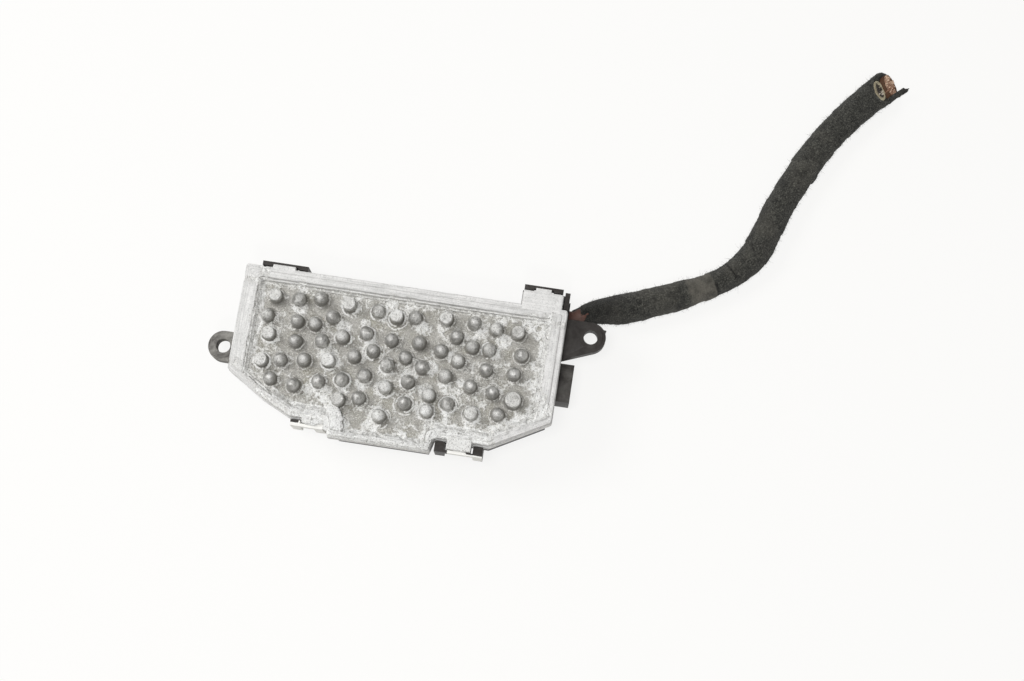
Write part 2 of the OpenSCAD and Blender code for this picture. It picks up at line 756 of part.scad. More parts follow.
// Drum core: two discs on a thinner post
module choke_core() {
    r = choke_d / 2;
    color([0.25, 0.25, 0.27])
        translate([choke_at.x, choke_at.y, board_top])
            rotate_extrude()
                polygon([
                    [0, 0], [r, 0], [r, disc_t], [r / 2, disc_t], [r / 2, choke_h - disc_t], [r, choke_h - disc_t],
                    [r, choke_h], [0, choke_h]
                ]);
}

module choke_winding() {
    r = choke_d / 2;
    h = choke_h - 2 * (disc_t + fit);
    color([0.72, 0.4, 0.2])
        translate([choke_at.x, choke_at.y, board_top + disc_t + fit])
            rotate_extrude()
                polygon([
                    [r / 2 + fit, 0], [r - 0.6, 0], [r - 0.3, 0.4], [r - 0.3, h - 0.4], [r - 0.6, h],
                    [r / 2 + fit, h]
                ]);
}

// Shunt: a flat strip bent into a bridge, with a foot at each end
module shunt() {
    color([0.65, 0.45, 0.3])
        translate([shunt_at.x, shunt_at.y, board_top])
            rotate([90, 0, 0])
                linear_extrude(shunt_w)
                    polygon([
                        [-5, 0], [-3, 0], [-2, 1.6], [2, 1.6], [3, 0], [5, 0], [5, 0.7], [3.5, 0.7], [2.5, 2.4],
                        [-2.5, 2.4], [-3.5, 0.7], [-5, 0.7]
                    ]);
}

// Control chip on four bent legs a side
module control_chip() {
    color([0.12, 0.12, 0.12])
        translate([chip_at.x, chip_at.y, board_top]) {
            block([-2.5, -2, 0.2], [2.5, 2, 1.7]);
            for (i = [-1.5:1:1.5], s = [-1, 1])
                translate([i * 1.27, 0, 0])
                    rotate(90 - 90 * s)
                        rotate([90, 0, 90])
                            translate([0, 0, -0.2])
                                linear_extrude(0.4)
                                    polygon([[1.9, 0.8], [2.5, 0.8], [2.5, 0.2], [2.4, 0], [3.2, 0], [3.2, 0.2],
                                        [2.7, 0.2], [2.7, 1], [1.9, 1]]);
        }
}

// Suppressor diode: a round body between two wire legs bent to the board
module suppressor_diode() {
    half = lead_w / 2;
    color([0.15, 0.15, 0.15])
        translate([diode_at.x, diode_at.y, board_top + diode_r]) {
            rotate([0, 90, 0]) cylinder(r = diode_r, h = diode_l);
            for (x = [-lead_reach, diode_l + lead_reach - lead_w]) {
                block([x, -half, -diode_r], [x + lead_w, half, half]);
                block([min(x, diode_l - lead_w), -half, -half], [max(x, 0) + lead_w, half, half]);
            }
        }
}

module supply_contact(s) {
    color("gold") contact_bar(s * contact_span, supply_t, supply_h, 0);
}

module signal_contact() {
    color("gold") contact_bar(0, signal_t, signal_h, 0);
}

// Copper strip that carries one wire's core and steps down onto the board
module motor_tab(x, level) {
    foot_y = board_outline[0].y;
    seat = level - core_d / 2;
    rises = seat > board_top + 1;
    outer_y = foot_y + (rises ? 0.4 : 1.4);
    inner_y = foot_y + (rises ? 1.4 : 0.4);
    color([0.75, 0.45, 0.28])
        translate([x, 0, 0])
            rotate([90, 0, 90])
                linear_extrude(strip_w)
                    polygon([
                        [foot_y - 3, board_top], [inner_y, board_top], [inner_y, seat - 1],
                        [exit_at.y + 1.6, seat - 1], [exit_at.y + 1.6, seat], [outer_y, seat],
                        [outer_y, board_top + 1], [foot_y - 3, board_top + 1]
                    ]);
}

// Bare core of one wire between its insulation and its tab
module inner_core(x, level) {
    color([0.8, 0.5, 0.3])
        translate([x - core_over, exit_at.y, level])
            rotate([0, 90, 0])
                cylinder(d = core_d, h = wire_x0 - x + core_over);
}

module cable_grommet() {
    r = wire_d / 2 + grommet_wall;
    color([0.1, 0.1, 0.1])
        difference() {
            union() {
                grommet_shape(r, case_right - case_wall - 0.6, cable_box_x1);
                grommet_shape(r + grommet_lip, cable_box_x1, cable_box_x1 + grommet_out);
            }
            grommet_shape(wire_d / 2 + fit, 0, 2 * plate_w);
        }
}

// Insulated wire from inside the cable box to the loom: s is 1 for the upper and -1 for the lower one
module loom_wire(s, tint) {
    start = [wire_x0, exit_at.y, exit_at.z + s * wire_pitch / 2];
    route = concat([start], [for (p = wire_steps) exit_at + p + [0, 0, s * wire_pitch / 2]]);
    widths = [for (p = route) wire_d];
    color(tint) swept(route, widths, widths, wire_sides);
}

module taped_loom() {
    color([0.2, 0.2, 0.21])
        swept(
            [for (i = [0:loom_last]) loom_point(i)],
            [for (i = [0:loom_last]) loom_w(i)], [for (i = [0:loom_last]) loom_h(i)], loom_sides, [0, cut_lean]
        );
}

// Bare end of one core, standing on the loom's cut face: s is 1 for the upper and -1 for the lower one
module copper_end(s) {
    tip = loom_point(loom_last);
    way = heading([loom_point(loom_last - 1), tip], 1);
    slope = cut_lean / (loom_h_end / 2);
    at = tip + ([0, 0, 1] - way * slope) * s * end_pitch / 2;
    lean = slope * core_d / 2;
    color([0.8, 0.5, 0.3])
        swept([at, at + way * core_stub], [core_d, core_d], [core_d, core_d], wire_sides, [lean, lean]);
}

placed() heat_sink();
placed() housing();
placed() seal_ring();
placed() circuit_board();
placed() board_screw(board_screws[0]);  // board_screw_1
placed() board_screw(board_screws[1]);  // board_screw_2
placed() board_screw(board_screws[2]);  // board_screw_3
placed() power_transistor(transistors[0]);  // power_transistor_1
placed() power_transistor(transistors[1]);  // power_transistor_2
placed() thermal_pad(transistors[0]);  // thermal_pad_1
placed() thermal_pad(transistors[1]);  // thermal_pad_2
placed() clamp_spring();
placed() clamp_screw();
placed() capacitor(capacitors[0]);  // capacitor_1
placed() capacitor(capacitors[1]);  // capacitor_2
placed() choke_core();
placed() choke_winding();
placed() shunt();
placed() control_chip();
placed() suppressor_diode();
placed() supply_contact(-1);  // supply_contact_1
placed() supply_contact(1);  // supply_contact_2
placed() signal_contact();
placed() motor_tab(strip_x[0], exit_at.z + wire_pitch / 2);  // motor_tab_1
placed() motor_tab(strip_x[1], exit_at.z - wire_pitch / 2);  // motor_tab_2
placed() inner_core(strip_x[0], exit_at.z + wire_pitch / 2);  // inner_core_1
placed() inner_core(strip_x[1], exit_at.z - wire_pitch / 2);  // inner_core_2
placed() cable_grommet();
placed() loom_wire(1, [0.45, 0.2, 0.14]);  // wire_1
placed() loom_wire(-1, [0.3, 0.17, 0.12]);  // wire_2
placed() taped_loom();
placed() copper_end(1);  // copper_end_1
placed() copper_end(-1);  // copper_end_2
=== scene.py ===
"""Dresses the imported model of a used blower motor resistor: its worn casting with oxide crust, its moulded
housing and its taped loom."""

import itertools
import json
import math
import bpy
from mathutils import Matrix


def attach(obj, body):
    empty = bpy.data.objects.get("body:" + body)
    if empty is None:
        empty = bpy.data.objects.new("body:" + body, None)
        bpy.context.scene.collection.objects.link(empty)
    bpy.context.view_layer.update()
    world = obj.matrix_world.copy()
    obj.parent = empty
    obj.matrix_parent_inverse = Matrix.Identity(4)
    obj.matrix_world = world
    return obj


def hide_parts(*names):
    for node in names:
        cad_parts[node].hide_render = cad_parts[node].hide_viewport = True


bl_info = {
    "name": "Blower Resistor Dressing",
    "version": (1, 0, 0),
    "blender": (4, 5, 0),
    "location": "View3D > Sidebar > Resistor",
    "description": "Builds the worn casting, its oxide crust, the housing, the taped loom and the stage",
    "category": "Object",
}

import bmesh
import bpy
import numpy as np
from mathutils import Matrix, Vector

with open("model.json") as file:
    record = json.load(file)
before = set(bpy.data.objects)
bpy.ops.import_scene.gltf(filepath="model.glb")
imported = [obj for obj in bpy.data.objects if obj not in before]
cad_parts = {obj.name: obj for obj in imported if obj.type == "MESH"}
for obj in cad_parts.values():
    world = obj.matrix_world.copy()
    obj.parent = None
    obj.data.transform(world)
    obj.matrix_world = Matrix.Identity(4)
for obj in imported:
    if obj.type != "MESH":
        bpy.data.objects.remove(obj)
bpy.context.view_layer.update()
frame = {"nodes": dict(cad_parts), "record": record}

UP = np.array([0, 0, 1.0])
# Plan sizes in millimetres, from the plate's back left corner: X to the right, Y negative to the front. First
# the row frame's origin, the outline of the casting's body, and the rim's width on each of its edges.
MIDDLE = np.array([47.4, -19.35, 0.0])
BODY = np.array(
    [
        [0, 0], [91, 0], [91, -31.8], [74.8, -40.9], [59.6, -40.9], [58.7, -44.6],
        [30.1, -44.6], [29.2, -40.9], [19.2, -40.9], [10.94, -37.05], [0, -30.2],
    ]
)
RIM_WIDTHS = np.array([3.2, 4.3, 2.2, 2.2, 1.3, 1.3, 1.3, 2.2, 2.2, 2.2, 4.3])
PLATE = np.array([91.0, 44.6])
# Bulge of the rim at the front: its middle, its half width, and where it starts
BULGE_X, BULGE_HALF, BULGE_Y = 44.5, 16.5, -41.0
# How far inside the rim's width the tray's floor ends, and the outline of the tab at the back
TRAY_INSET = 1.05
TAB = np.array([[78.0, 4.2], [89.3, 4.2], [89.3, -2.4], [78.0, -2.4]])

# Rib and boss under the plate, and the lugs in the snap loops: place, facing, the loop's width and its reach
RIB_LINE = np.array(
    [
        [1.5, -1.5], [77.6, -1.5], [77.6, 5.4], [91.1, 5.4], [91.1, -1.2], [89.5, -1.2], [89.5, -30.92],
        [74.41, -39.4], [58.42, -39.4], [57.52, -43.1], [31.28, -43.1], [30.38, -39.4], [19.53, -39.4],
        [11.69, -35.75], [1.5, -29.37],
    ]
)
BOSS = (35.945, -20.01)
LUGS = [
    ((10.6, 0.0), 1, 13.0, 1.8), ((83.55, 4.2), 1, 11.0, 1.9),
    ((24.2, -40.9), -1, 9.2, 2.2), ((66.8, -40.9), -1, 13.4, 3.4),
]
# Thickness of a loop's bar, width of its legs, and the gap between a leg and the lug
LOOP_BAR, LOOP_LEG, LOOP_GAP = 0.95, 2.7, 0.6

# Heights in millimetres above the surface that the part lies on
BASE_Z, GROOVE_Z, RIM_Z, BAND_Z, TOP_Z, TRAY_Z, PIN_TOP = 18.0, 21.1, 22.5, 24.2, 24.5, 21.5, 27.0

# Outer section of the rim and the tab, upwards: inset, height and the number of steps to the next corner
FLANGE = [
    (-0.1, BASE_Z, 1), (-0.2, BASE_Z + 0.1, 4), (-0.2, GROOVE_Z - 0.12, 1), (-0.08, GROOVE_Z, 2),
    (0.56, GROOVE_Z, 1), (0.6, GROOVE_Z + 0.06, 2), (0.6, RIM_Z - 0.06, 1), (0.56, RIM_Z, 2),
    (0.12, RIM_Z, 1), (0.02, RIM_Z + 0.1, 4),
]
# Point of the rim's section that lies on its outer side
SIDE_RING = 20

# Pins as percent of the plate's width and depth, as in the part's source
DOMED_PINS = [
    [18, 18], [24.5, 15.5], [42.5, 18], [54, 18.5], [72.3, 16.7], [79.2, 18.6],
    [9.2, 30.8], [18.5, 32], [24, 32], [29, 26], [33, 37.5], [40, 33], [48, 35], [56.5, 34], [63.5, 37],
    [67.5, 27], [72.8, 31.8], [78, 32], [88, 32.5],
    [19, 44.5], [27, 42], [37.5, 48.5], [43, 43.5], [48, 51], [53, 44.5], [58.5, 49], [69.2, 42],
    [78, 45], [86.5, 45],
    [15.5, 57.5], [22.5, 55.5], [41.5, 59.5], [55, 59.5], [66, 52.5], [74, 56.5], [81, 58.5],
    [13.3, 70], [20.7, 72], [28, 67.5], [35, 64], [41, 74], [48.5, 65], [55, 73], [62, 66], [68, 69.5],
    [83.5, 71.5], [62, 76], [48, 83.5],
]
FLAT_PINS = [
    [10.7, 18.1], [33.5, 17], [48.5, 20], [63.6, 16.6], [86, 19],
    [10.6, 42.4], [9.8, 59.6], [30, 54], [35, 77], [75.5, 73.5],
]
WIDE_PINS = [[87.5, 61.5]]
# Width at the top and the foot, and height
DOMED_SIZE, FLAT_SIZE, WIDE_SIZE = (3.4, 3.8, 5.5), (3.4, 3.8, 5.2), (4.3, 4.7, 5.2)
PIN_SIDES = 32

# Pins by their number in the lists above: ringed by crust, ringed twice, and how crusted the top is
RINGED = [2, 10, 11, 17, 22, 23, 32, 38, 39, 41, 42, 44, 46, 47, 49, 50, 53, 54, 55, 57]
RINGED_TWICE = [22, 32, 42, 44, 47, 50]
CAPS = {
    5: 0.55, 6: 0.4, 8: 0.35, 10: 0.5, 16: 0.3, 17: 0.3, 21: 0.3, 26: 0.5, 30: 0.3, 33: 0.45, 41: 0.75,
    43: 0.7, 46: 0.85, 47: 0.7, 48: 0.5, 49: 0.5, 50: 0.65, 51: 0.5, 52: 0.3, 53: 0.55, 54: 0.6, 55: 0.65,
    56: 0.35, 57: 0.5, 58: 0.4,
}
PLAIN_CAP = 0.14
# Places of the oxide crust on the tray: x, y and radius
CRUST_SPOTS = np.array(
    [
        [16.5, -10, 2.2], [29.5, -6.5, 2], [32.5, -7.5, 1.4], [29.5, -13.5, 2.2], [35.5, -12, 1.6],
        [37.5, -16.5, 2], [26.5, -22, 2.8], [5.5, -6.5, 1.2], [6, -15.5, 2], [5.5, -23, 1.6],
        [16.5, -4.5, 1.6], [42, -5.5, 2.2], [39.5, -9, 1.8], [47, -5, 1.8], [50.5, -10, 1.8],
        [52.5, -11, 1.6], [57, -9.5, 1.8], [68, -9.5, 2], [73, -6, 1.6], [74.5, -11, 2.2],
        [72.5, -15, 1.8], [81.5, -5, 2.4], [84, -8, 1.4], [84, -16.5, 1.4], [84, -22, 1.6],
        [65.5, -11.5, 1.4], [60.5, -17.5, 1.4], [56, -21.5, 2], [49.5, -24.5, 2], [43.5, -24, 2.4],
        [43.5, -29, 2.6], [51, -25, 1.4], [55, -28, 2], [55.5, -33.5, 2.6], [60, -26, 1.8],
        [63.5, -27.5, 1.8], [64.5, -24.5, 1.4], [62, -33, 1.6], [69, -34, 2.4], [23.5, -32.5, 1.6],
        [27.5, -33.5, 2.4], [30, -37, 2.6], [33, -41, 2.8], [32.5, -30.5, 1.8], [29.5, -24, 1.8],
        [37.5, -28.5, 2], [43, -36.5, 2.4], [41.5, -40.5, 2.4], [50, -41.5, 2.2], [14, -26.5, 1.4],
        [21, -39, 2.4], [25.5, -39.5, 2.2], [58.5, -38, 2.6], [61.5, -37, 2.4], [65, -38.5, 2.6],
        [69.5, -38.5, 2.2], [74, -37, 2.2], [78.5, -34.5, 2], [82, -32, 2], [85.5, -30, 2.2],
        [86.5, -25.5, 2.2], [5.5, -30, 1.6], [10.5, -34.5, 1.8], [16, -37, 2],
    ]
)
# Crust along the rim: edge of the body outline, from and to which depth inside the edge, and how dense.
# Where it is denser than BANKING, it also fills the corner between the rim and the tray.
CRUST_BANDS = [
    (0, 3.6, 5.2, 0.6), (1, 4.0, 6.6, 0.8), (2, 1.9, 5.0, 0.95), (3, -0.5, 4.6, 1.0), (4, -0.5, 3.8, 1.0),
    (5, -0.6, 3.0, 1.0), (6, -0.5, 3.6, 1.0), (7, -0.5, 4.4, 1.0), (8, 0.0, 4.3, 0.8), (9, 1.2, 4.1, 0.55),
    (10, 4.2, 6.6, 0.8),
]
BANKING = 0.6
# Bars of thick crust: the points of their route, their half width and half height, and the seed of their form
CRUST_BARS = [
    ([[22.7, -41.2, 22.8], [25.2, -41.4, 22.9], [28.9, -41.1, 23.2]], (0.85, 0.8), 101),
    ([[63.4, -42.2, 22.4], [66.8, -42.5, 22.5], [70.0, -42.2, 22.4]], (0.9, 0.5), 103),
    ([[34.0, -42.8, 24.1], [32.2, -40.6, 24.1], [31.0, -38.4, 23.4], [29.4, -36.2, 22.4]], (1.9, 0.75), 107),
    ([[57.6, -41.6, 24.0], [59.6, -39.6, 23.9], [61.6, -38.9, 23.6]], (1.2, 0.6), 109),
    ([[29.6, -43.4, 23.6], [30.0, -41.6, 23.8], [29.2, -40.2, 23.9]], (1.0, 0.8), 113),
]

# Marks on the housing in metres of the row frame. Legs of the front loops that the crust leaves black: from
# and to X, and their front. Where the front face's crust, the ear's dust and the socket's dust fade in, and
# over which way the legs' edges fade.
FREE_LEGS = [(-0.0282, -0.0252, -0.0231), (0.0120, 0.0166, -0.0263), (0.0213, 0.0264, -0.0248)]
FRONT_Y, CRUST_HEIGHTS = (-0.0218, -0.0223), (0.001, 0.0175)
EAR_X, SOCKET_X, SOCKET_Y = (-0.047, -0.049), (0.0434, 0.0438), (0.0065, 0.006)
SOFT_EDGE = 0.0004

# Loom: where the wires leave the housing, the steps of its route from there, and its section
EXIT = np.array([91.1, 1.4, 8.0])
LOOM_STEPS = np.array(
    [
        [3.8, 0.75, -0.05], [6.4, 2.1, -0.35], [9.5, 3.5, -1], [16, 5.5, -2.2], [23, 8.5, -3.2],
        [30, 11.5, -3.8], [37, 15, -4], [43, 18.5, -4], [48, 23, -4], [52, 28.5, -4], [54.5, 35.5, -4],
        [57.5, 44, -4], [61, 52, -4], [65.5, 61, -4], [70.5, 69, -4], [77, 77.3, -4], [84.1, 85.2, -4],
    ]
)
# Wires: the steps of their route, how far it is moved to the front at each, their pitch and their radius
WIRE_STEPS = np.array([[-3.0, 0, 0], [1, 0, 0], [2.5, 0.075, 0], [3.8, 0.75, -0.05], [6, 1.9, -0.3]])
WIRE_SIDEWAYS = [0.4, 0.6, 0.4, 0.15, 0]
WIRE_PITCH, WIRE_RADIUS = 4.8, 2.05
# Width and height at the start and the end, and the width's share at each step
LOOM_W, LOOM_H = (8.3, 9.5), (9.2, 7.8)
LOOM_WAIST = [0.68, 0.82, 0.9, 1.06, 1.02, 1, 0.87, 0.86, 0.92, 0.97, 0.96, 0.95, 0.96, 0.96, 0.96, 0.96, 1]
# Points round the tape, the radius that its noise and its marks are laid out on, and the spacing of its rings
TAPE_SIDES, TAPE_RADIUS, TAPE_SPACING = 112, 4.4, 0.3

# The slanting cut: how far its top leans back, how much it turns to the right, and over which length
CUT_LEAN, CUT_SKEW, CUT_REACH = 5.0, 0.31, 14

# Marks on the tape, by the length run: where the pale stretch starts and ends, where the painted shadow at
# its start fades out, and the folds' painted shade as place, width and depth
WORN_START, WORN_END, DARK_START = (32, 33.5), (40.3, 40.7), (9, 19)
FOLDS = [(40.9, 0.3, 0.8), (46.8, 0.35, 0.9)]

# Strip of tape past the cut: its length to both sides, and its edges as places along it and distances aside
FLAP_HALF = 4.8
FLAP_INNER = ([-4.8, 1.0, 2.5, 3.6, 4.8], [3.3, 3.4, 3.6, 3.9, 5.0])
FLAP_OUTER = ([-4.8, 1.1, 3.1, 4.8], [4.5, 4.9, 5.2, 5.25])

# Camera: what it aims at in the plate's corner frame, and its focal length in pixels of the picture
AIM = (76.8625, -10.815, 24.5)
FOCAL_PIXELS, PICTURE_WIDTH = 1620.0, 1024
# Half width of the table in metres, and the share of the glow in what the camera sees of it
FLOOR_SIZE, FLOOR_GLOW = 3.0, 0.82


# Noise, outlines and grids


def to_metres(points):
    """Points of the plate's corner frame in millimetres, moved to the row frame in metres."""
    return (np.asarray(points, float) - MIDDLE) / 1000.0


def smooth_step(low, high, value):
    """3t²-2t³ of the value's place t between low and high, held to 0 and 1 outside them."""
    t = np.clip((value - low) / (high - low), 0, 1)
    return t * t * (3 - 2 * t)


def smooth_fall(low, high, value):
    """One minus the smooth step: 1 up to the low mark, and 0 from the high one on."""
    return 1 - smooth_step(low, high, value)


def bell(value, middle, width):
    """e to the power of minus the square of the value's distance from the middle in widths."""
    return np.exp(-(((value - middle) / width) ** 2))


# Factors that mix a cell's indices and its seed into one value, and the bits that are kept
MIX_X, MIX_Y, MIX_Z, MIX_AGAIN = (np.uint64(f) for f in (374761393, 668265263, 2246822519, 1274126177))
MIX_SEED = 3266489917
BITS_32, BITS_24 = np.uint64(0xFFFFFFFF), np.uint64(0xFFFFFF)
# Cells are counted from here, so that no index is negative
FIRST_CELL = 4096.0


def lattice(cells, seed):
    """A repeatable value from 0 to 1 for each whole-numbered cell, by mixing the bits of its three
    indices."""
    c = cells.astype(np.uint64)
    h = c[..., 0] * MIX_X + c[..., 1] * MIX_Y
    h = (h + c[..., 2] * MIX_Z + np.uint64(seed * MIX_SEED)) & BITS_32
    h = ((h ^ (h >> np.uint64(13))) * MIX_AGAIN) & BITS_32
    return ((h ^ (h >> np.uint64(16))) & BITS_24).astype(float) / float(BITS_24)


def value_noise(points, cell, seed):
    """Corner values of a cubic lattice of this cell size, blended inside each cell by smooth steps."""
    q = np.asarray(points, float) / cell + FIRST_CELL
    base = np.floor(q)
    t = q - base
    t = t * t * (3 - 2 * t)
    total = np.zeros(q.shape[:-1])
    for corner in itertools.product((0, 1), repeat=3):
        offset = np.array(corner)
        weight = np.prod(np.where(offset == 1, t, 1 - t), axis=-1)
        total += weight * lattice(base + offset, seed)
    return total


def cloud(points, cell, seed, octaves=4):
    """Sum of value noises, each with half the cell and half the weight of the last, from 0 to 1."""
    total, weight, whole = 0.0, 1.0, 0.0
    for octave in range(octaves):
        total = total + weight * value_noise(points, cell / 2**octave, seed + 17 * octave)
        whole += weight
        weight *= 0.5
    return total / whole


def veins(points, cell, seed):
    """Thin bright lines where a bent cloud crosses its middle: one minus twice the distance from a half,
    squared."""
    bends = [cloud(points, cell * 1.5, seed + k, 2) for k in (90, 91, 92)]
    warp = 0.8 * cell * (np.stack(bends, -1) - 0.5)
    return (1 - np.abs(2 * cloud(points + warp, cell, seed, 3) - 1)) ** 2


def joined(*parts):
    """Arrays that fit each other, put together as the last axis of one array of points."""
    return np.stack(np.broadcast_arrays(*parts), -1)


def lifted(points, height=0.0):
    """Plan points with one height added as their third number."""
    return joined(points[..., 0], points[..., 1], float(height))


def circle(sides, first=0.0):
    """Angles of evenly spaced places round a full turn."""
    return np.linspace(first, first + 2 * math.pi, sides, endpoint=False)


def inset_corners(outline, widths):
    """Corners of a clockwise outline whose edges have each moved inwards by their own width."""
    ahead = np.roll(outline, -1, 0) - outline
    ahead = ahead / np.linalg.norm(ahead, axis=1, keepdims=True)
    inward = np.stack([ahead[:, 1], -ahead[:, 0]], 1)
    p = outline + np.roll(widths[:, None] * inward, 1, 0)
    q = outline + widths[:, None] * inward
    u, v = np.roll(ahead, 1, 0), ahead
    turn = u[:, 0] * v[:, 1] - u[:, 1] * v[:, 0]
    reach = ((q - p)[:, 0] * v[:, 1] - (q - p)[:, 1] * v[:, 0]) / turn
    return p + u * reach[:, None]


def rounded_ring(outline, widths, radius, pitch, corner_points=7):
    """Points round an inset outline. Each corner is a quadratic curve that starts and ends at the radius
    times the tangent of half the turn from it, and each edge holds as many points as the outline's own
    length asks, so that rings of one outline match point by point."""
    corners = inset_corners(outline, np.broadcast_to(np.asarray(widths, float), (len(outline),)))
    lengths = np.linalg.norm(np.roll(outline, -1, 0) - outline, axis=1)
    ahead = np.roll(corners, -1, 0) - corners
    spans = np.linalg.norm(ahead, axis=1)
    ahead = ahead / spans[:, None]
    behind = np.roll(ahead, 1, 0)
    bend = np.arccos(np.clip((ahead * behind).sum(1), -1, 1))
    cut = np.minimum(radius * np.tan(bend / 2), 0.45 * np.minimum(spans, np.roll(spans, 1)))
    t = np.linspace(0, 1, corner_points)[:, None]
    ring = []
    for i, corner in enumerate(corners):
        start, end = corner - behind[i] * cut[i], corner + ahead[i] * cut[i]
        ring.append((1 - t) ** 2 * start + 2 * t * (1 - t) * corner + t**2 * end)
        after = (i + 1) % len(corners)
        far = corners[after] - ahead[i] * cut[after]
        share = np.linspace(0, 1, max(3, round(lengths[i] / pitch)))[1:-1, None]
        ring.append(end * (1 - share) + far * share)
    return np.concatenate(ring)


def grid_faces(rows, columns, wrap_rows=False, wrap_columns=False):
    """Four-cornered faces between neighbours of a grid of points that are counted row by row."""
    down = np.arange(rows if wrap_rows else rows - 1)
    across = np.arange(columns if wrap_columns else columns - 1)
    r, c = np.meshgrid(down, across, indexing="ij")
    r2, c2 = (r + 1) % rows, (c + 1) % columns
    corners = [r * columns + c, r * columns + c2, r2 * columns + c2, r2 * columns + c]
    return np.stack(corners, -1).reshape(-1, 4)


def closed_loop(rings):
    """Points and faces of a tube that is closed on itself: the last ring joins the first one."""
    rows, columns = rings.shape[:2]
    return rings.reshape(-1, 3), [grid_faces(rows, columns, True, True)]


def capped_tubes(rings):
    """Points and faces of closed tubes from an array of tube, ring, side and coordinate."""
    tubes, count, sides = rings.shape[:3]
    offsets = (np.arange(tubes) * count * sides)[:, None, None]
    walls = (grid_faces(count, sides, wrap_columns=True)[None] + offsets).reshape(-1, 4)
    around = np.arange(sides)
    first = (around[::-1][None, None] + offsets).reshape(-1, sides)
    last = ((count - 1) * sides + around[None, None] + offsets).reshape(-1, sides)
    return rings.reshape(-1, 3), [walls, first, last]


def grid_normals(points, wrap_rows=True):
    """Unit normals of a grid: the cross product of the differences along its rows and its columns."""
    down = np.roll(points, -1, 0) - np.roll(points, 1, 0)
    across = np.roll(points, -1, 1) - np.roll(points, 1, 1)
    if not wrap_rows:
        down[0], down[-1] = points[1] - points[0], points[-1] - points[-2]
    n = np.cross(across, down)
    return n / np.maximum(np.linalg.norm(n, axis=-1, keepdims=True), 1e-9)


def enclosed(points, faces):
    """Six times the volume that the faces enclose, negative where they point inwards."""
    total = 0.0
    for f in faces:
        for k in range(1, f.shape[1] - 1):
            total += np.einsum("ij,ij->", points[f[:, 0]], np.cross(points[f[:, k]], points[f[:, k + 1]]))
    return total


def catmull_rom(points, steps):
    """Smooth curve through points: between two of them it is the cubic whose slopes are half the way between
    their neighbours. Each stretch holds the same number of steps."""
    p = np.concatenate([[2 * points[0] - points[1]], points, [2 * points[-1] - points[-2]]])
    t = (np.arange(steps) / steps)[None, :, None]
    a, b, c, d = (p[k : len(p) - 3 + k][:, None, :] for k in range(4))
    square, cube = 2 * a - 5 * b + 4 * c - d, 3 * b - a - 3 * c + d
    curve = 0.5 * (2 * b + (c - a) * t + square * t**2 + cube * t**3)
    return np.concatenate([curve.reshape(-1, points.shape[1]), points[-1:]])


def evenly(curve, spacing):
    """The curve's points moved along it to an even spacing, with the length run at each."""
    run = np.concatenate([[0], np.cumsum(np.linalg.norm(np.diff(curve, axis=0), axis=1))])
    at = np.linspace(0, run[-1], round(run[-1] / spacing) + 1)
    return np.stack([np.interp(at, run, curve[:, k]) for k in range(curve.shape[1])], -1), at


def route_frame(route):
    """Unit vectors along a route and level across it, to its right."""
    way = np.gradient(route[:, :3], axis=0)
    way = way / np.linalg.norm(way, axis=1, keepdims=True)
    side = np.stack([way[:, 1], -way[:, 0], np.zeros(len(way))], -1)
    return way, side / np.linalg.norm(side, axis=1, keepdims=True)


# Pieces and node trees in Blender


def fill_mesh(mesh, points, faces):
    """Writes points and faces into a mesh, with the faces turned outwards."""
    if enclosed(points, faces) < 0:
        faces = [f[:, ::-1] for f in faces]
    loops = np.concatenate([f.ravel() for f in faces]).astype(np.int32)
    counts = np.concatenate([np.full(len(f), f.shape[1]) for f in faces])
    starts = np.concatenate([[0], np.cumsum(counts)[:-1]]).astype(np.int32)
    mesh.vertices.add(len(points))
    mesh.vertices.foreach_set("co", to_metres(points).astype(np.float32).ravel())
    mesh.loops.add(len(loops))
    mesh.loops.foreach_set("vertex_index", loops)
    mesh.polygons.add(len(starts))
    mesh.polygons.foreach_set("loop_start", starts)
    mesh.polygons.foreach_set("use_smooth", np.ones(len(starts), bool))
    mesh.update(calc_edges=True)
    if mesh.validate():
        raise RuntimeError(f"{mesh.name} has faces that Blender had to mend")


def place_piece(mesh, finish, sharp, slot, node):
    """Gives a mesh its finish and its sharp edges, from this angle in degrees on, and makes it a piece that
    rides on the part and stands for a CAD node. The slot is not used."""
    mesh.set_sharp_from_angle(angle=math.radians(sharp))
    mesh.materials.append(finish)
    piece = bpy.data.objects.new(mesh.name, mesh)
    bpy.context.scene.collection.objects.link(piece)
    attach(piece, "root")
    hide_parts(node)
    return piece


def add_piece(name, points, faces, finish, slot, node, notes, sharp):
    """Makes a piece from points and faces. Its material reads the notes, which are values for each point."""
    mesh = bpy.data.meshes.new(name)
    fill_mesh(mesh, points, faces)
    for key, values in notes.items():
        vectors = np.ndim(values) == 2
        attribute = mesh.attributes.new(key, "FLOAT_VECTOR" if vectors else "FLOAT", "POINT")
        attribute.data.foreach_set("vector" if vectors else "value", np.asarray(values, np.float32).ravel())
    return place_piece(mesh, finish, sharp, slot, node)


def round_edges(piece, width, limit=30.0):
    """Rounds a piece's edges that are sharper than the limit in degrees."""
    rounding = piece.modifiers.new("edge rounding", "BEVEL")
    rounding.width, rounding.segments, rounding.limit_method = width, 2, "ANGLE"
    rounding.angle_limit = math.radians(limit)


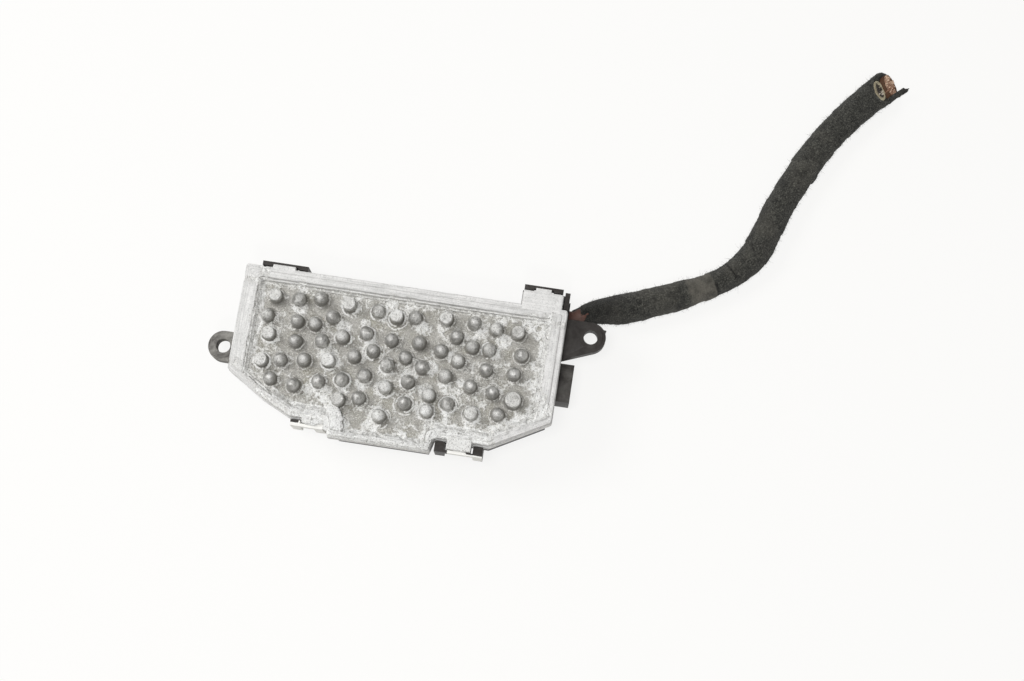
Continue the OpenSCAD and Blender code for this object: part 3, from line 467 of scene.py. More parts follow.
class Wiring:
    """Puts nodes into one tree and joins them, with a link where a socket is given and a value where it
    isn't."""

    def __init__(self, tree):
        self.tree = tree

    def put(self, kind, inputs=None, **settings):
        """One node with its inputs and its settings."""
        node = self.tree.nodes.new(kind)
        for key, value in settings.items():
            setattr(node, key, value)
        for key, value in (inputs or {}).items():
            if isinstance(value, bpy.types.NodeSocket):
                self.tree.links.new(value, node.inputs[key])
            else:
                node.inputs[key].default_value = value
        return node

    def place(self):
        """Place on the part in metres."""
        return self.put("ShaderNodeTexCoord").outputs["Object"]

    def axes(self):
        """Place on the part as X, Y and Z apart."""
        return self.put("ShaderNodeSeparateXYZ", {0: self.place()}).outputs

    def note(self, name, vector=False):
        """A value that the mesh holds for each point."""
        node = self.put("ShaderNodeAttribute", attribute_name=name)
        return node.outputs["Vector" if vector else "Fac"]

    def stretched(self, where, x, y, z):
        """A place scaled by its own factor along each axis."""
        return self.put("ShaderNodeMapping", {"Vector": where, "Scale": (x, y, z)}).outputs["Vector"]

    def bent(self, where, scale, reach):
        """A place pushed aside by a soft noise, by the reach at most."""
        noise = self.put("ShaderNodeTexNoise", {"Vector": where, "Scale": scale, "Detail": 2.0})
        inputs = {0: noise.outputs["Color"], 1: (reach, reach, reach), 2: where}
        return self.put("ShaderNodeVectorMath", inputs, operation="MULTIPLY_ADD").outputs[0]

    def noise(self, where, scale, detail=4.0, roughness=0.6, distortion=0.0):
        """Cloudy values, mostly from 0.3 to 0.7."""
        inputs = {
            "Vector": where, "Scale": scale, "Detail": detail, "Roughness": roughness,
            "Distortion": distortion,
        }
        return self.put("ShaderNodeTexNoise", inputs).outputs["Fac"]

    def cells(self, where, scale, feature="F1"):
        """Distance from the middles of random cells, or from their edges."""
        node = self.put("ShaderNodeTexVoronoi", {"Vector": where, "Scale": scale}, feature=feature)
        return node.outputs["Distance"]

    def maths(self, operation, *values):
        """Any operation of the Math node."""
        return self.put("ShaderNodeMath", dict(enumerate(values)), operation=operation).outputs[0]

    def times(self, a, b):
        """Product of two values."""
        return self.maths("MULTIPLY", a, b)

    def plus(self, a, b):
        """Sum of two values."""
        return self.maths("ADD", a, b)

    def minus(self, a, b):
        """Difference of two values."""
        return self.maths("SUBTRACT", a, b)

    def larger(self, a, b):
        """The larger one of two values."""
        return self.maths("MAXIMUM", a, b)

    def spread(self, value, low, high, to_low=0.0, to_high=1.0):
        """The value's range from low to high spread over another range, and held to that one's ends."""
        inputs = {"Value": value, "From Min": low, "From Max": high, "To Min": to_low, "To Max": to_high}
        return self.put("ShaderNodeMapRange", inputs).outputs["Result"]

    def blend(self, share, a, b):
        """Colour a with a share of colour b."""
        return self.put("ShaderNodeMix", {0: share, 6: a, 7: b}, data_type="RGBA").outputs[2]


def new_group(name, inputs, outputs):
    """A shader node group with named sockets. Returns its wiring, its input sockets by name and a function
    that joins its outputs."""
    tree = bpy.data.node_groups.new(name, "ShaderNodeTree")
    for key, value in inputs.items():
        kind = "NodeSocketColor" if isinstance(value, tuple) else "NodeSocketFloat"
        socket = tree.interface.new_socket(name=key, in_out="INPUT", socket_type=kind)
        socket.default_value = value
    for key in outputs:
        kind = "NodeSocketColor" if key == "Color" else "NodeSocketFloat"
        tree.interface.new_socket(name=key, in_out="OUTPUT", socket_type=kind)
    w = Wiring(tree)
    given = w.put("NodeGroupInput").outputs

    def finish(**results):
        """Joins the results to the group's outputs."""
        w.put("NodeGroupOutput", results)
        return tree

    return w, given, finish


def tone(r, g, b):
    """Linear colour of sRGB values from 0 to 255."""
    linear = [(c / 255 / 12.92) if c <= 10 else ((c / 255 + 0.055) / 1.055) ** 2.4 for c in (r, g, b)]
    return (*linear, 1.0)


def casting_group():
    """Weathered die casting: grey skin with fine streaks along the rim, soil in the tray with pale curls and
    their painted shadows, painted shade in creases and beside the pins, and white oxide that is lace and
    specks where it is thin and a solid crust where it is thick."""
    olive_soil, pale_soil, dark_soil = tone(138, 134, 108), tone(186, 184, 180), tone(116, 113, 103)
    soil_grains, soil_pits, soil_flecks = tone(206, 203, 196), tone(90, 86, 78), tone(232, 230, 225)
    curl_lines, curl_shadows, painted_shade_tone = tone(222, 219, 212), tone(96, 92, 84), tone(84, 82, 76)
    skin_flecks, thin_oxide = tone(238, 237, 234), tone(216, 214, 208)
    oxide_pits, oxide_patches = tone(140, 138, 133), tone(196, 196, 195)
    inputs = {
        "Skin": tone(215, 216, 218), "Streak": tone(176, 176, 174), "Soil": tone(128, 122, 108),
        "Oxide": tone(250, 250, 248), "Oxide Amount": 0.0, "Soil Amount": 0.0, "Painted Shade Amount": 0.0,
        "Streak Amount": 1.0, "Grain": 1.0, "Shine": 0.3, "Bare Roughness": 0.55, "Mottle": 0.0,
    }
    w, given, finish = new_group("cast_aluminium_skin", inputs, ["Color", "Roughness", "Metallic", "Height"])
    where, along = w.place(), w.note("grain_way", vector=True)
    regions = w.noise(where, 200.0)
    patches = w.noise(where, 420.0, 5.0)
    speckle = w.noise(where, 1500.0, 4.0, 0.7, 0.6)
    pits = w.noise(where, 2700.0, 3.0, 0.65)
    flecks = w.noise(where, 3300.0, 2.0)

    streaks = w.spread(w.noise(w.stretched(along, 0.1, 3.4, 1.0), 1.0, 5.0, 0.65), 0.47, 0.6)
    broad_streaks = w.spread(w.noise(w.stretched(along, 0.04, 1.1, 1.0), 1.0, 3.0), 0.5, 0.64, 0.0, 0.8)
    streaks = w.times(w.larger(streaks, broad_streaks), given["Streak Amount"])
    mottled = w.spread(w.plus(w.times(patches, 0.6), w.times(speckle, 0.4)), 0.46, 0.56)
    skin = w.blend(w.times(streaks, 0.5), given["Skin"], given["Streak"])
    skin = w.blend(w.spread(patches, 0.42, 0.62, 0.0, 0.25), skin, given["Streak"])
    skin = w.blend(w.times(mottled, given["Mottle"]), skin, given["Streak"])
    skin = w.blend(w.spread(pits, 0.54, 0.66, 0.0, 0.7), skin, given["Streak"])
    skin = w.blend(w.spread(flecks, 0.6, 0.7, 0.0, 0.8), skin, skin_flecks)

    soil = w.blend(w.spread(regions, 0.5, 0.64, 0.0, 0.4), given["Soil"], olive_soil)
    soil = w.blend(w.spread(regions, 0.5, 0.38, 0.0, 0.6), soil, pale_soil)
    soil = w.blend(w.spread(patches, 0.53, 0.36, 0.0, 0.55), soil, dark_soil)
    soil = w.blend(w.spread(speckle, 0.48, 0.7, 0.0, 0.6), soil, soil_grains)
    soil = w.blend(w.spread(pits, 0.49, 0.36, 0.0, 0.65), soil, soil_pits)
    contour = w.maths("ABSOLUTE", w.minus(w.noise(where, 330.0, 2.0, 0.5, 1.6), 0.5))
    curls = w.times(w.spread(contour, 0.004, 0.02, 1.0, 0.0), w.spread(speckle, 0.4, 0.55))
    soil = w.blend(w.times(curls, 0.8), soil, curl_lines)
    shadows = w.times(w.spread(contour, 0.02, 0.05, 1.0, 0.0), w.spread(contour, 0.014, 0.022))
    soil = w.blend(w.times(shadows, 0.3), soil, curl_shadows)
    soil = w.blend(w.spread(flecks, 0.56, 0.67, 0.0, 0.9), soil, soil_flecks)
    soil_share = w.times(given["Soil Amount"], w.spread(patches, 0.3, 0.6, 0.75, 1.0))
    surface = w.blend(soil_share, skin, soil)
    # Painted shade: darker in the rim's creases, beside the pins' feet and on the pins' shaded sides
    surface = w.blend(w.times(given["Painted Shade Amount"], 0.85), surface, painted_shade_tone)

    bent = w.bent(where, 700.0, 0.0013)
    lace = w.spread(w.cells(bent, 700.0, "DISTANCE_TO_EDGE"), 0.02, 0.16, 1.0, 0.0)
    fine_lace = w.spread(w.cells(bent, 1700.0, "DISTANCE_TO_EDGE"), 0.02, 0.22, 1.0, 0.0)
    growth = w.plus(w.times(lace, 0.6), w.times(fine_lace, 0.4))
    growth = w.plus(growth, w.spread(speckle, 0.34, 0.66, 0.1, 1.1))
    oxide_share = w.spread(w.times(given["Oxide Amount"], growth), 0.2, 0.55)
    oxide = w.blend(given["Oxide Amount"], thin_oxide, given["Oxide"])
    oxide = w.blend(w.spread(pits, 0.55, 0.65, 0.0, 0.75), oxide, oxide_pits)
    oxide = w.blend(w.spread(patches, 0.6, 0.7, 0.0, 0.4), oxide, oxide_patches)

    bare = w.minus(1.0, w.larger(oxide_share, soil_share))
    height = w.times(w.plus(w.times(speckle, 0.5), pits), given["Grain"])
    height = w.plus(height, w.times(oxide_share, w.spread(growth, 0.4, 1.6, 0.2, 2.2)))
    height = w.minus(height, w.times(streaks, 0.3))
    covered_roughness = 0.85
    rough = w.plus(w.times(bare, w.minus(given["Bare Roughness"], covered_roughness)), covered_roughness)
    shine = w.times(bare, given["Shine"])
    return finish(Color=w.blend(oxide_share, surface, oxide), Roughness=rough, Metallic=shine, Height=height)


def moulding_group():
    """Moulded plastic: fine grain, pale dust that gathers in patches, and small scuffs."""
    inputs = {
        "Plastic": tone(40, 39, 41), "Dust": tone(150, 148, 143), "Dust Amount": 0.3, "Grain Scale": 1800.0,
        "Gloss Wear": 0.5, "Oxide": tone(240, 239, 235), "Oxide Amount": 0.0,
    }
    w, given, finish = new_group("moulded_plastic_skin", inputs, ["Color", "Roughness", "Height"])
    where = w.place()
    patches = w.noise(where, 260.0, 6.0, 0.65, 0.4)
    grain = w.noise(where, given["Grain Scale"], 3.0)
    scuffs = w.noise(w.stretched(where, 300.0, 1700.0, 900.0), 1.0, 3.0, 0.6, 0.8)
    dusty = w.plus(w.spread(patches, 0.4, 0.7), w.spread(scuffs, 0.62, 0.75, 0.0, 0.35))
    dust = w.times(w.plus(dusty, 0.3), given["Dust Amount"])
    colour = w.blend(w.spread(dust, 0.0, 1.0), given["Plastic"], given["Dust"])
    growth = w.times(w.spread(grain, 0.3, 0.6, 0.6, 1.3), w.spread(patches, 0.35, 0.6, 0.55, 1.4))
    colour = w.blend(w.spread(w.times(given["Oxide Amount"], growth), 0.3, 0.6), colour, given["Oxide"])
    rough = w.plus(w.spread(dust, 0.0, 0.8, 0.38, 0.75), w.times(grain, given["Gloss Wear"]))
    return finish(Color=colour, Roughness=w.times(rough, 0.85), Height=grain)


def fleece_group():
    """Fleece tape: matted short threads that lie across the loom, a dotted weave, lint, a paler worn
    stretch, and a darkening that carries the painted shadow at the tape's start and the painted shade in its
    folds."""
    hollows, gaps, shaded_fluff = tone(28, 28, 27), tone(22, 22, 21), tone(24, 24, 23)
    inputs = {
        "Cloth": tone(46, 46, 46), "Lint": tone(122, 121, 112), "Worn": tone(116, 112, 103),
        "Worn Amount": 0.0, "Dark Amount": 0.0,
    }
    w, given, finish = new_group("fleece_tape_cloth", inputs, ["Color", "Roughness", "Height"])
    where, lay = w.place(), w.note("wrap_way", vector=True)
    threads = w.noise(w.stretched(lay, 2.6, 0.55, 1.0), 1.0, 4.0, 0.65, 0.3)
    cross = w.noise(w.stretched(lay, 0.7, 2.4, 1.0), 1.0, 4.0, 0.65, 0.3)
    dots = w.spread(w.cells(lay, 1.9), 0.12, 0.42, 1.0, 0.0)
    mats = w.noise(where, 330.0, 5.0, 0.65)
    fluff = w.noise(where, 2300.0, 3.0, 0.7)
    cloth = w.blend(w.times(dots, w.spread(mats, 0.35, 0.6, 0.2, 0.8)), given["Cloth"], given["Lint"])
    cloth = w.blend(w.spread(threads, 0.42, 0.7, 0.0, 0.3), cloth, given["Lint"])
    cloth = w.blend(w.spread(mats, 0.5, 0.36, 0.0, 0.6), cloth, hollows)
    cloth = w.blend(w.spread(cross, 0.48, 0.36, 0.0, 0.85), cloth, gaps)
    cloth = w.blend(w.spread(fluff, 0.58, 0.68, 0.0, 0.7), cloth, given["Lint"])
    cloth = w.blend(w.spread(fluff, 0.44, 0.34, 0.0, 0.7), cloth, shaded_fluff)
    worn = w.times(given["Worn Amount"], w.spread(mats, 0.3, 0.6, 0.35, 0.9))
    cloth = w.blend(worn, cloth, given["Worn"])
    # Dark amount: painted shadow at the tape's start, painted shade in its folds, and an even darkening of
    # the flap
    cloth = w.blend(given["Dark Amount"], cloth, gaps)
    height = w.plus(w.times(threads, 0.6), w.times(cross, 0.5))
    height = w.plus(height, w.plus(w.times(fluff, 0.8), w.times(dots, 0.4)))
    return finish(Color=cloth, Roughness=w.spread(mats, 0.3, 0.7, 0.85, 0.98), Height=height)


def metal_group():
    """Small metal parts: a base colour with tarnish in patches and fine drawing marks."""
    inputs = {
        "Metal": tone(190, 190, 188), "Tarnish": tone(120, 112, 100), "Tarnish Amount": 0.4, "Evenness": 0.0,
        "Scale": 900.0,
    }
    w, given, finish = new_group("small_metal_skin", inputs, ["Color", "Roughness", "Height"])
    where = w.place()
    patches = w.noise(where, given["Scale"], 5.0)
    marks = w.noise(w.stretched(where, 500.0, 4000.0, 4000.0), 1.0, 2.0, 0.5)
    share = w.times(w.spread(patches, 0.42, 0.68, given["Evenness"], 1.0), given["Tarnish Amount"])
    colour = w.blend(share, given["Metal"], given["Tarnish"])
    return finish(Color=colour, Roughness=w.spread(share, 0.0, 0.6, 0.3, 0.6), Height=marks)


GROUPS = {}


def group_named(name):
    """The node group of one effect, built the first time that a material asks for it."""
    makers = {
        "casting": casting_group, "moulding": moulding_group, "fleece": fleece_group, "metal": metal_group,
    }
    if name not in GROUPS:
        GROUPS[name] = makers[name]()
    return GROUPS[name]


def finish_of(name, group, values, bump, shader=None, linked=None):
    """A material that places one effect group with its own values, and feeds a Principled shader from it.
    Bump is the relief's strength and its height in metres."""
    material = bpy.data.materials.new(name)
    material.use_nodes = True
    w = Wiring(material.node_tree)
    join = material.node_tree.links.new
    principled = material.node_tree.nodes["Principled BSDF"]
    effect = w.put("ShaderNodeGroup", values, node_tree=group_named(group))
    for key, source in (linked or {}).items():
        join(source(w), effect.inputs[key])
    for out, into in (("Color", "Base Color"), ("Roughness", "Roughness"), ("Metallic", "Metallic")):
        if out in effect.outputs:
            join(effect.outputs[out], principled.inputs[into])
    strength, distance = bump
    inputs = {"Strength": strength, "Distance": distance, "Height": effect.outputs["Height"]}
    join(w.put("ShaderNodeBump", inputs).outputs["Normal"], principled.inputs["Normal"])
    for key, value in (shader or {}).items():
        principled.inputs[key].default_value = value
    return material


def note_source(name):
    """A function that puts a reader of this attribute into a material."""
    return lambda w: w.note(name)


def opaque(colour):
    """A setting's colour with its fourth number."""
    return (*colour, 1.0)


# Sizes and colours that a user would change


class StageSettings(bpy.types.PropertyGroup):
    """Camera, floor and lamps."""

    elevation: bpy.props.FloatProperty(
        name="Camera Elevation", description="Angle of the view above the table",
        default=math.radians(79), subtype="ANGLE",
    )
    turn: bpy.props.FloatProperty(
        name="Camera Turn", description="Turn of the picture to the part",
        default=math.radians(8.65), subtype="ANGLE",
    )
    distance: bpy.props.FloatProperty(
        name="Camera Distance", description="From the lens to the rim", default=0.45, unit="LENGTH"
    )
    key_power: bpy.props.FloatProperty(
        name="Key Lamp Power", description="Power of the soft lamp at the upper left",
        default=2.1, unit="POWER",
    )
    top_power: bpy.props.FloatProperty(
        name="Top Lamp Power", description="Power of the soft lamp above, near the camera",
        default=3.4, unit="POWER",
    )
    front_power: bpy.props.FloatProperty(
        name="Front Lamp Power",
        description="Power of the small lamp in front, which puts a glint on each dome",
        default=0.8, unit="POWER",
    )
    sky: bpy.props.FloatProperty(name="Sky Strength", description="Even light from all round", default=0.26)
    floor_tone: bpy.props.FloatVectorProperty(
        name="Floor Colour", description="Colour of the table", default=(0.9, 0.885, 0.85), subtype="COLOR"
    )


class LoomSettings(bpy.types.PropertyGroup):
    """The taped loom and its wires."""

    tape_pitch: bpy.props.FloatProperty(
        name="Tape Pitch", description="From one turn of the tape to the next", default=0.0095, unit="LENGTH"
    )
    fluff: bpy.props.IntProperty(
        name="Loose Threads", description="Number of threads that stand off the tape", default=8000
    )
    cloth: bpy.props.FloatVectorProperty(
        name="Tape Colour", description="Colour of the fleece tape",
        default=tone(55, 55, 52)[:3], subtype="COLOR",
    )
    insulation: bpy.props.FloatVectorProperty(
        name="Wire Colour", description="Colour of the wires' insulation",
        default=tone(98, 62, 52)[:3], subtype="COLOR",
    )


class CastingSettings(bpy.types.PropertyGroup):
    """The heat sink's casting and the crust on it."""

    skin: bpy.props.FloatVectorProperty(
        name="Rim Colour", description="Colour of the clean casting",
        default=tone(231, 230, 228)[:3], subtype="COLOR",
    )
    soil: bpy.props.FloatVectorProperty(
        name="Soil Colour", description="Colour of the dirt in the tray",
        default=tone(166, 164, 158)[:3], subtype="COLOR",
    )
    crust: bpy.props.FloatProperty(
        name="Crust Amount", description="How much white oxide grows on the casting",
        default=1.0, min=0.0, max=2.0,
    )
    crust_height: bpy.props.FloatProperty(
        name="Crust Height", description="Height of the oxide lumps", default=0.00055, unit="LENGTH"
    )


class HousingSettings(bpy.types.PropertyGroup):
    """The housing's moulding and the small parts in it."""

    edge: bpy.props.FloatProperty(
        name="Edge Radius", description="Rounding of the moulding's edges", default=0.00022, unit="LENGTH"
    )
    plastic: bpy.props.FloatVectorProperty(
        name="Plastic Colour", description="Colour of the housing",
        default=tone(40, 35, 33)[:3], subtype="COLOR",
    )


# The casting


def edge_depths(points):
    """For each edge of the body outline: how far points lie inside it and along it, and its length."""
    ahead = np.roll(BODY, -1, 0) - BODY
    length = np.linalg.norm(ahead, axis=1)
    ahead = ahead / length[:, None]
    inward = np.stack([ahead[:, 1], -ahead[:, 0]], 1)
    offset = points[..., None, :2] - BODY
    return (offset * inward).sum(-1), (offset * ahead).sum(-1), length


def crust_density(points):
    """How densely oxide covers a place, from 0 to 1: round each spot it falls off over the spot's radius,
    and along each band of the rim it fades at both depths and past both ends."""
    flat = points.reshape(-1, points.shape[-1])
    density = np.zeros(len(flat))
    for x, y, r in CRUST_SPOTS:
        away = np.hypot(flat[:, 0] - x, flat[:, 1] - y)
        density = np.maximum(density, 0.85 * smooth_fall(0.6 * r, 1.7 * r, away))
    depth, along, length = edge_depths(flat)
    for edge, low, high, amount in CRUST_BANDS:
        inside, run = depth[:, edge], along[:, edge]
        band = smooth_step(low - 0.5, low + 0.3, inside) * smooth_fall(high - 0.4, high + 0.9, inside)
        ends = smooth_step(-2.5, 0.0, run) * smooth_fall(length[edge], length[edge] + 2.5, run)
        density = np.maximum(density, amount * band * ends)
    return density.reshape(points.shape[:-1])


def pin_table():
    """Centre of each pin, with its top and foot diameter, its height and 1 where it is domed."""
    kinds = ((DOMED_PINS, DOMED_SIZE, 1.0), (FLAT_PINS, FLAT_SIZE, 0.0), (WIDE_PINS, WIDE_SIZE, 0.0))
    centres = np.concatenate([pins for pins, _, _ in kinds]) * PLATE / 100 * [1, -1]
    sizes = [(*size, domed) for pins, size, domed in kinds for _ in pins]
    return centres, np.array(sizes)


def crust_and_lumps(points, amount, thin=0.0):
    """Cover of the oxide from 0 to 1 and the height of its lumps. The cover is the density times the sum of
    its veins and its grain, plus the density cubed, so that thick crust closes. Thin is a density that
    clouds spread over the rest."""
    spread = thin * smooth_step(0.42, 0.6, cloud(points * [1, 1, 0], 5.0, 13, 3))
    density = np.maximum(crust_density(points) * amount, spread)
    lines = smooth_step(0.72, 0.96, veins(points, 1.7, 11))
    fine = smooth_step(0.75, 0.96, veins(points, 0.9, 15))
    broken = 0.3 * density + 0.75 * lines + 0.4 * fine + 1.5 * (cloud(points, 0.7, 23) - 0.4)
    cover = np.clip(density * broken + 0.35 * density**3, 0, 1)
    lumps = cover * (0.15 + 0.6 * cloud(points, 0.55, 37, 3) + 0.4 * np.maximum(lines, fine))
    return cover, lumps


def foot_marks(points):
    """Ragged rings of crust round the pins' feet and the painted shadow beside them. A ring is a bell over
    the distance from the foot, moved and interrupted by clouds. The painted shadow fades outwards and reaches
    farther on the lower right."""
    plan = lifted(points[..., :2])
    drift = 0.7 * (cloud(plan, 1.6, 71, 3) - 0.5)
    gate = smooth_step(0.34, 0.46, cloud(plan, 2.4, 73, 3))
    far_gate = smooth_step(0.4, 0.52, cloud(plan, 3.0, 75, 3))
    ring, foot_shadow = np.zeros(plan.shape[:-1]), np.zeros(plan.shape[:-1])
    for number, ((cx, cy), (_, foot, _, _)) in enumerate(zip(*pin_table())):
        dx, dy = plan[..., 0] - cx, plan[..., 1] - cy
        span = np.hypot(dx, dy)
        away = span - foot / 2
        strength = 1.2 if number in RINGED else 0.45
        ring = np.maximum(ring, strength * gate * bell(away + drift, 0.45, 0.26))
        if number in RINGED_TWICE:
            ring = np.maximum(ring, 0.9 * far_gate * bell(away + drift, 1.15, 0.22))
        # Painted shadow: darker round each foot, and farther out on the lower right, away from the key lamp
        lower_right = np.clip((0.85 * dx - 0.5 * dy) / np.maximum(span, 0.1), 0, 1)
        foot_shadow = np.maximum(foot_shadow, smooth_fall(0.0, 0.7 + 1.5 * lower_right, away))
    return ring, foot_shadow


def crust_bank(points, amount):
    """Height of the bank that thick crust forms from the rim's top down to the tray, and how much of it is
    there: the band's density, faded by smooth steps at both ends and at both depths."""
    depth, along, length = edge_depths(points)
    bank = np.full(points.shape[:-1], BASE_Z)
    share = np.zeros(points.shape[:-1])
    for edge, _, high, density in CRUST_BANDS:
        if density > BANKING:
            inside, run = depth[..., edge] - RIM_WIDTHS[edge], along[..., edge]
            reach = high - RIM_WIDTHS[edge]
            here = smooth_step(-2.0, 0.5, run) * smooth_fall(length[edge] - 0.5, length[edge] + 2.0, run)
            here = here * density * smooth_fall(reach - 0.6, reach + 0.9, inside)
            here = here * smooth_step(-1.6, -0.6, inside)
            level = TOP_Z + 0.05 - 2.8 * smooth_step(-0.2, 2.6, inside)
            bank = np.where(here > share, level, bank)
            share = np.maximum(share, here)
    plan = lifted(points[..., :2])
    height = bank + 0.7 * (cloud(plan, 1.2, 97, 3) - 0.5)
    return height, share * amount * smooth_step(0.25, 0.5, cloud(plan, 1.6, 99, 3))


def rim_profile():
    """Points of the rim's section from its underside out, up the flange, over the top and down the tray's
    steps: inset, share of the rim's width, and height."""
    corners = [(2.6, 1, BASE_Z, 4)]
    corners += [(inset, 0, z, steps) for inset, z, steps in FLANGE]
    corners += [
        (0.0, 0, 23.95, 1), (0.07, 0, 24.13, 1), (0.28, 0, BAND_Z, 4), (1.2, 0, BAND_Z, 1),
        (1.34, 0, 24.14, 1), (1.46, 0, 24.42, 1), (1.64, 0, TOP_Z, 8), (-0.34, 1, TOP_Z, 1),
        (-0.12, 1, 24.44, 1), (0.0, 1, 24.25, 3), (0.06, 1, 23.5, 1), (0.16, 1, 23.38, 3), (0.6, 1, 23.36, 1),
        (0.72, 1, 23.24, 3), (0.8, 1, 22.5, 1), (0.9, 1, 22.32, 3), (1.3, 1, 22.28, 1), (1.42, 1, 22.16, 3),
        (1.5, 1, 21.6, 2), (1.6, 1, 20.9, 1), (2.6, 1, 20.6, 2),
    ]
    for corner, after in zip(corners, corners[1:] + corners[:1]):
        start, end = np.array(corner[:3]), np.array(after[:3])
        for step in range(corner[3]):
            yield start + (end - start) * step / corner[3]


def rim_grid():
    """Points of the rim: its section carried round the plate's outline, with the rim's own width on each
    edge. The second grid says how far each point lies along the rim, across it and up."""
    rings, across = [], []
    for inset, share, z in rim_profile():
        widths = inset + share * RIM_WIDTHS
        if 1.0 < inset and share < 1:
            widths = np.minimum(widths, RIM_WIDTHS - 0.55 + 0.12 * inset + share * 1.2)
        ring = rounded_ring(BODY, widths, 0.8 if share == 0 else 0.9, 0.33)
        rings.append(lifted(ring, z))
        across.append(inset + share * 3.6)
    points = np.array(rings)
    side = points[SIDE_RING]
    run = np.linalg.norm(np.diff(side, axis=0, append=side[:1]), axis=1).cumsum()
    return points, joined(run, np.array(across)[:, None], points[..., 2])


def casting_finish(
    name, settings, streaks, skin=None, grain=1.0, shine=0.3, rough=0.55, streak=(176, 176, 174), mottle=0.0
):
    """Finish of one form of the casting, which reads its oxide, soil and painted shade from the mesh."""
    values = {
        "Skin": opaque(skin or settings.skin), "Soil": opaque(settings.soil), "Streak Amount": streaks,
        "Grain": grain, "Shine": shine, "Bare Roughness": rough, "Streak": tone(*streak), "Mottle": mottle,
    }
    linked = {
        "Oxide Amount": note_source("oxide"), "Soil Amount": note_source("soil"),
        "Painted Shade Amount": note_source("painted_shade"),
    }
    return finish_of(name, "casting", values, (0.6, 0.00014), None, linked)


def add_casting(name, points, faces, finish, notes, sharp):
    """Makes a piece of the heat sink's casting."""
    return add_piece(name, points, faces, finish, "cast_aluminium", "heat_sink", notes, sharp)


class RESISTOR_OT_cast_rim(bpy.types.Operator):
    """Builds the stepped rim of the heat sink with its groove, bands and crust"""

    bl_idname = "resistor.cast_rim"
    bl_label = "Cast Rim"

    def execute(self, context):
        settings = context.scene.resistor_casting
        points, way = rim_grid()
        normals = grid_normals(points)
        if normals[SIDE_RING, :, 2].mean() < 0:
            normals = -normals
        skin = 0.05 * (cloud(points, 1.6, 3) - 0.5) + 0.06 * (cloud(points, 7.0, 5, 2) - 0.5)
        cover, lumps = crust_and_lumps(points, settings.crust)
        # On its outer side the rim is crusted near the top, and on the bulge nearly down to the housing
        crusted = smooth_step(22.6, 23.6, points[..., 2])
        # The left end of the rim has no groove in its top, so its outer band is level there
        plain = smooth_fall(4.5, 7.0, points[..., 0]) * (way[..., 1] < 1.5) * (points[..., 2] > 24.1)
        points[..., 2] += plain * (TOP_Z - 0.03 - points[..., 2])
        bulge = (points[..., 1] < BULGE_Y) & (np.abs(points[..., 0] - BULGE_X) < BULGE_HALF)
        crusted = np.where(bulge, smooth_step(18.4, 19.2, points[..., 2]), crusted)
        inner = way[..., 1] > 1.0
        cover, lumps = (np.where(inner, v, v * crusted) for v in (cover, lumps))
        bank, share = crust_bank(points, settings.crust)
        swell = skin + lumps * settings.crust_height * 1000
        points = points + swell[..., None] * normals
        banked = np.maximum(bank - points[..., 2], 0) * share
        banked = np.where(inner & (points[..., 2] > TRAY_Z - 0.2), banked, 0)
        points[..., 2] = np.maximum(points[..., 2] + banked, BASE_Z)
        soil = np.where(inner, 0.45 * smooth_fall(22.0, 23.6, points[..., 2]), 0)
        # Painted shade in the creases of the section, left out where crust covers them
        painted_shade = np.zeros(len(points))
        for ring, depth in self.creases():
            painted_shade[ring] = depth
        painted_shade = painted_shade[:, None] * (1 - cover) * (1 - 0.7 * plain) * (1 - 0.85 * bulge)
        painted_shade = painted_shade * smooth_step(0.2, 0.6, cloud(points, 3.0, 9, 2))
        notes = {
            "oxide": cover.ravel(), "soil": soil.ravel(), "painted_shade": painted_shade.ravel(),
            "grain_way": way.reshape(-1, 3),
        }
        points, faces = closed_loop(points)
        finish = casting_finish("rim_casting", settings, 1.0, shine=0.15, rough=0.6)
        add_casting("casting_rim", points, faces, finish, notes, 50)
        return {"FINISHED"}

    def creases(self):
        """Rings of the rim's grid that lie in a crease of its section, with how dark the painted shade in
        them is.
        """
        for number, (inset, share, z) in enumerate(rim_profile()):
            if share == 0 and 1.3 < inset < 1.4:
                yield number, 0.3
            if share == 0 and 0.5 < inset < 0.65 and z < RIM_Z:
                yield number, 1.0
            if share == 1 and (0.1 < inset < 0.2 or 0.85 < inset < 0.95 or inset == 1.6):
                yield number, 0.38


def tray_edge():
    """Ends of the tray floor, just inside the rim's wall: left, right, back, and the front's corners in the
    order of X."""
    corners = inset_corners(BODY, RIM_WIDTHS + TRAY_INSET)
    return corners[0, 0], corners[1, 0], corners[0, 1], corners[:1:-1]


def tray_relief(plan):
    """Height of the tray's floor over its level: a fillet round each foot that falls off over a millimetre,
    a low bank along the front walls, and clouds."""
    fillets = np.zeros(plan.shape[:2])
    for (cx, cy), (_, foot, _, _) in zip(*pin_table()):
        away = np.hypot(plan[..., 0] - cx, plan[..., 1] - cy) - foot / 2
        fillets = np.maximum(fillets, 0.5 * smooth_fall(-0.1, 0.9, away))
    depth, _, _ = edge_depths(plan)
    from_wall = (depth[..., 2:10] - RIM_WIDTHS[2:10] - TRAY_INSET).min(-1)
    level = lifted(plan, TRAY_Z)
    uneven = 0.16 * (cloud(level, 3.2, 41) - 0.5) + 0.16 * (cloud(level, 0.8, 43) - 0.5)
    return uneven + fillets + 0.4 * smooth_fall(0.0, 1.7, from_wall)


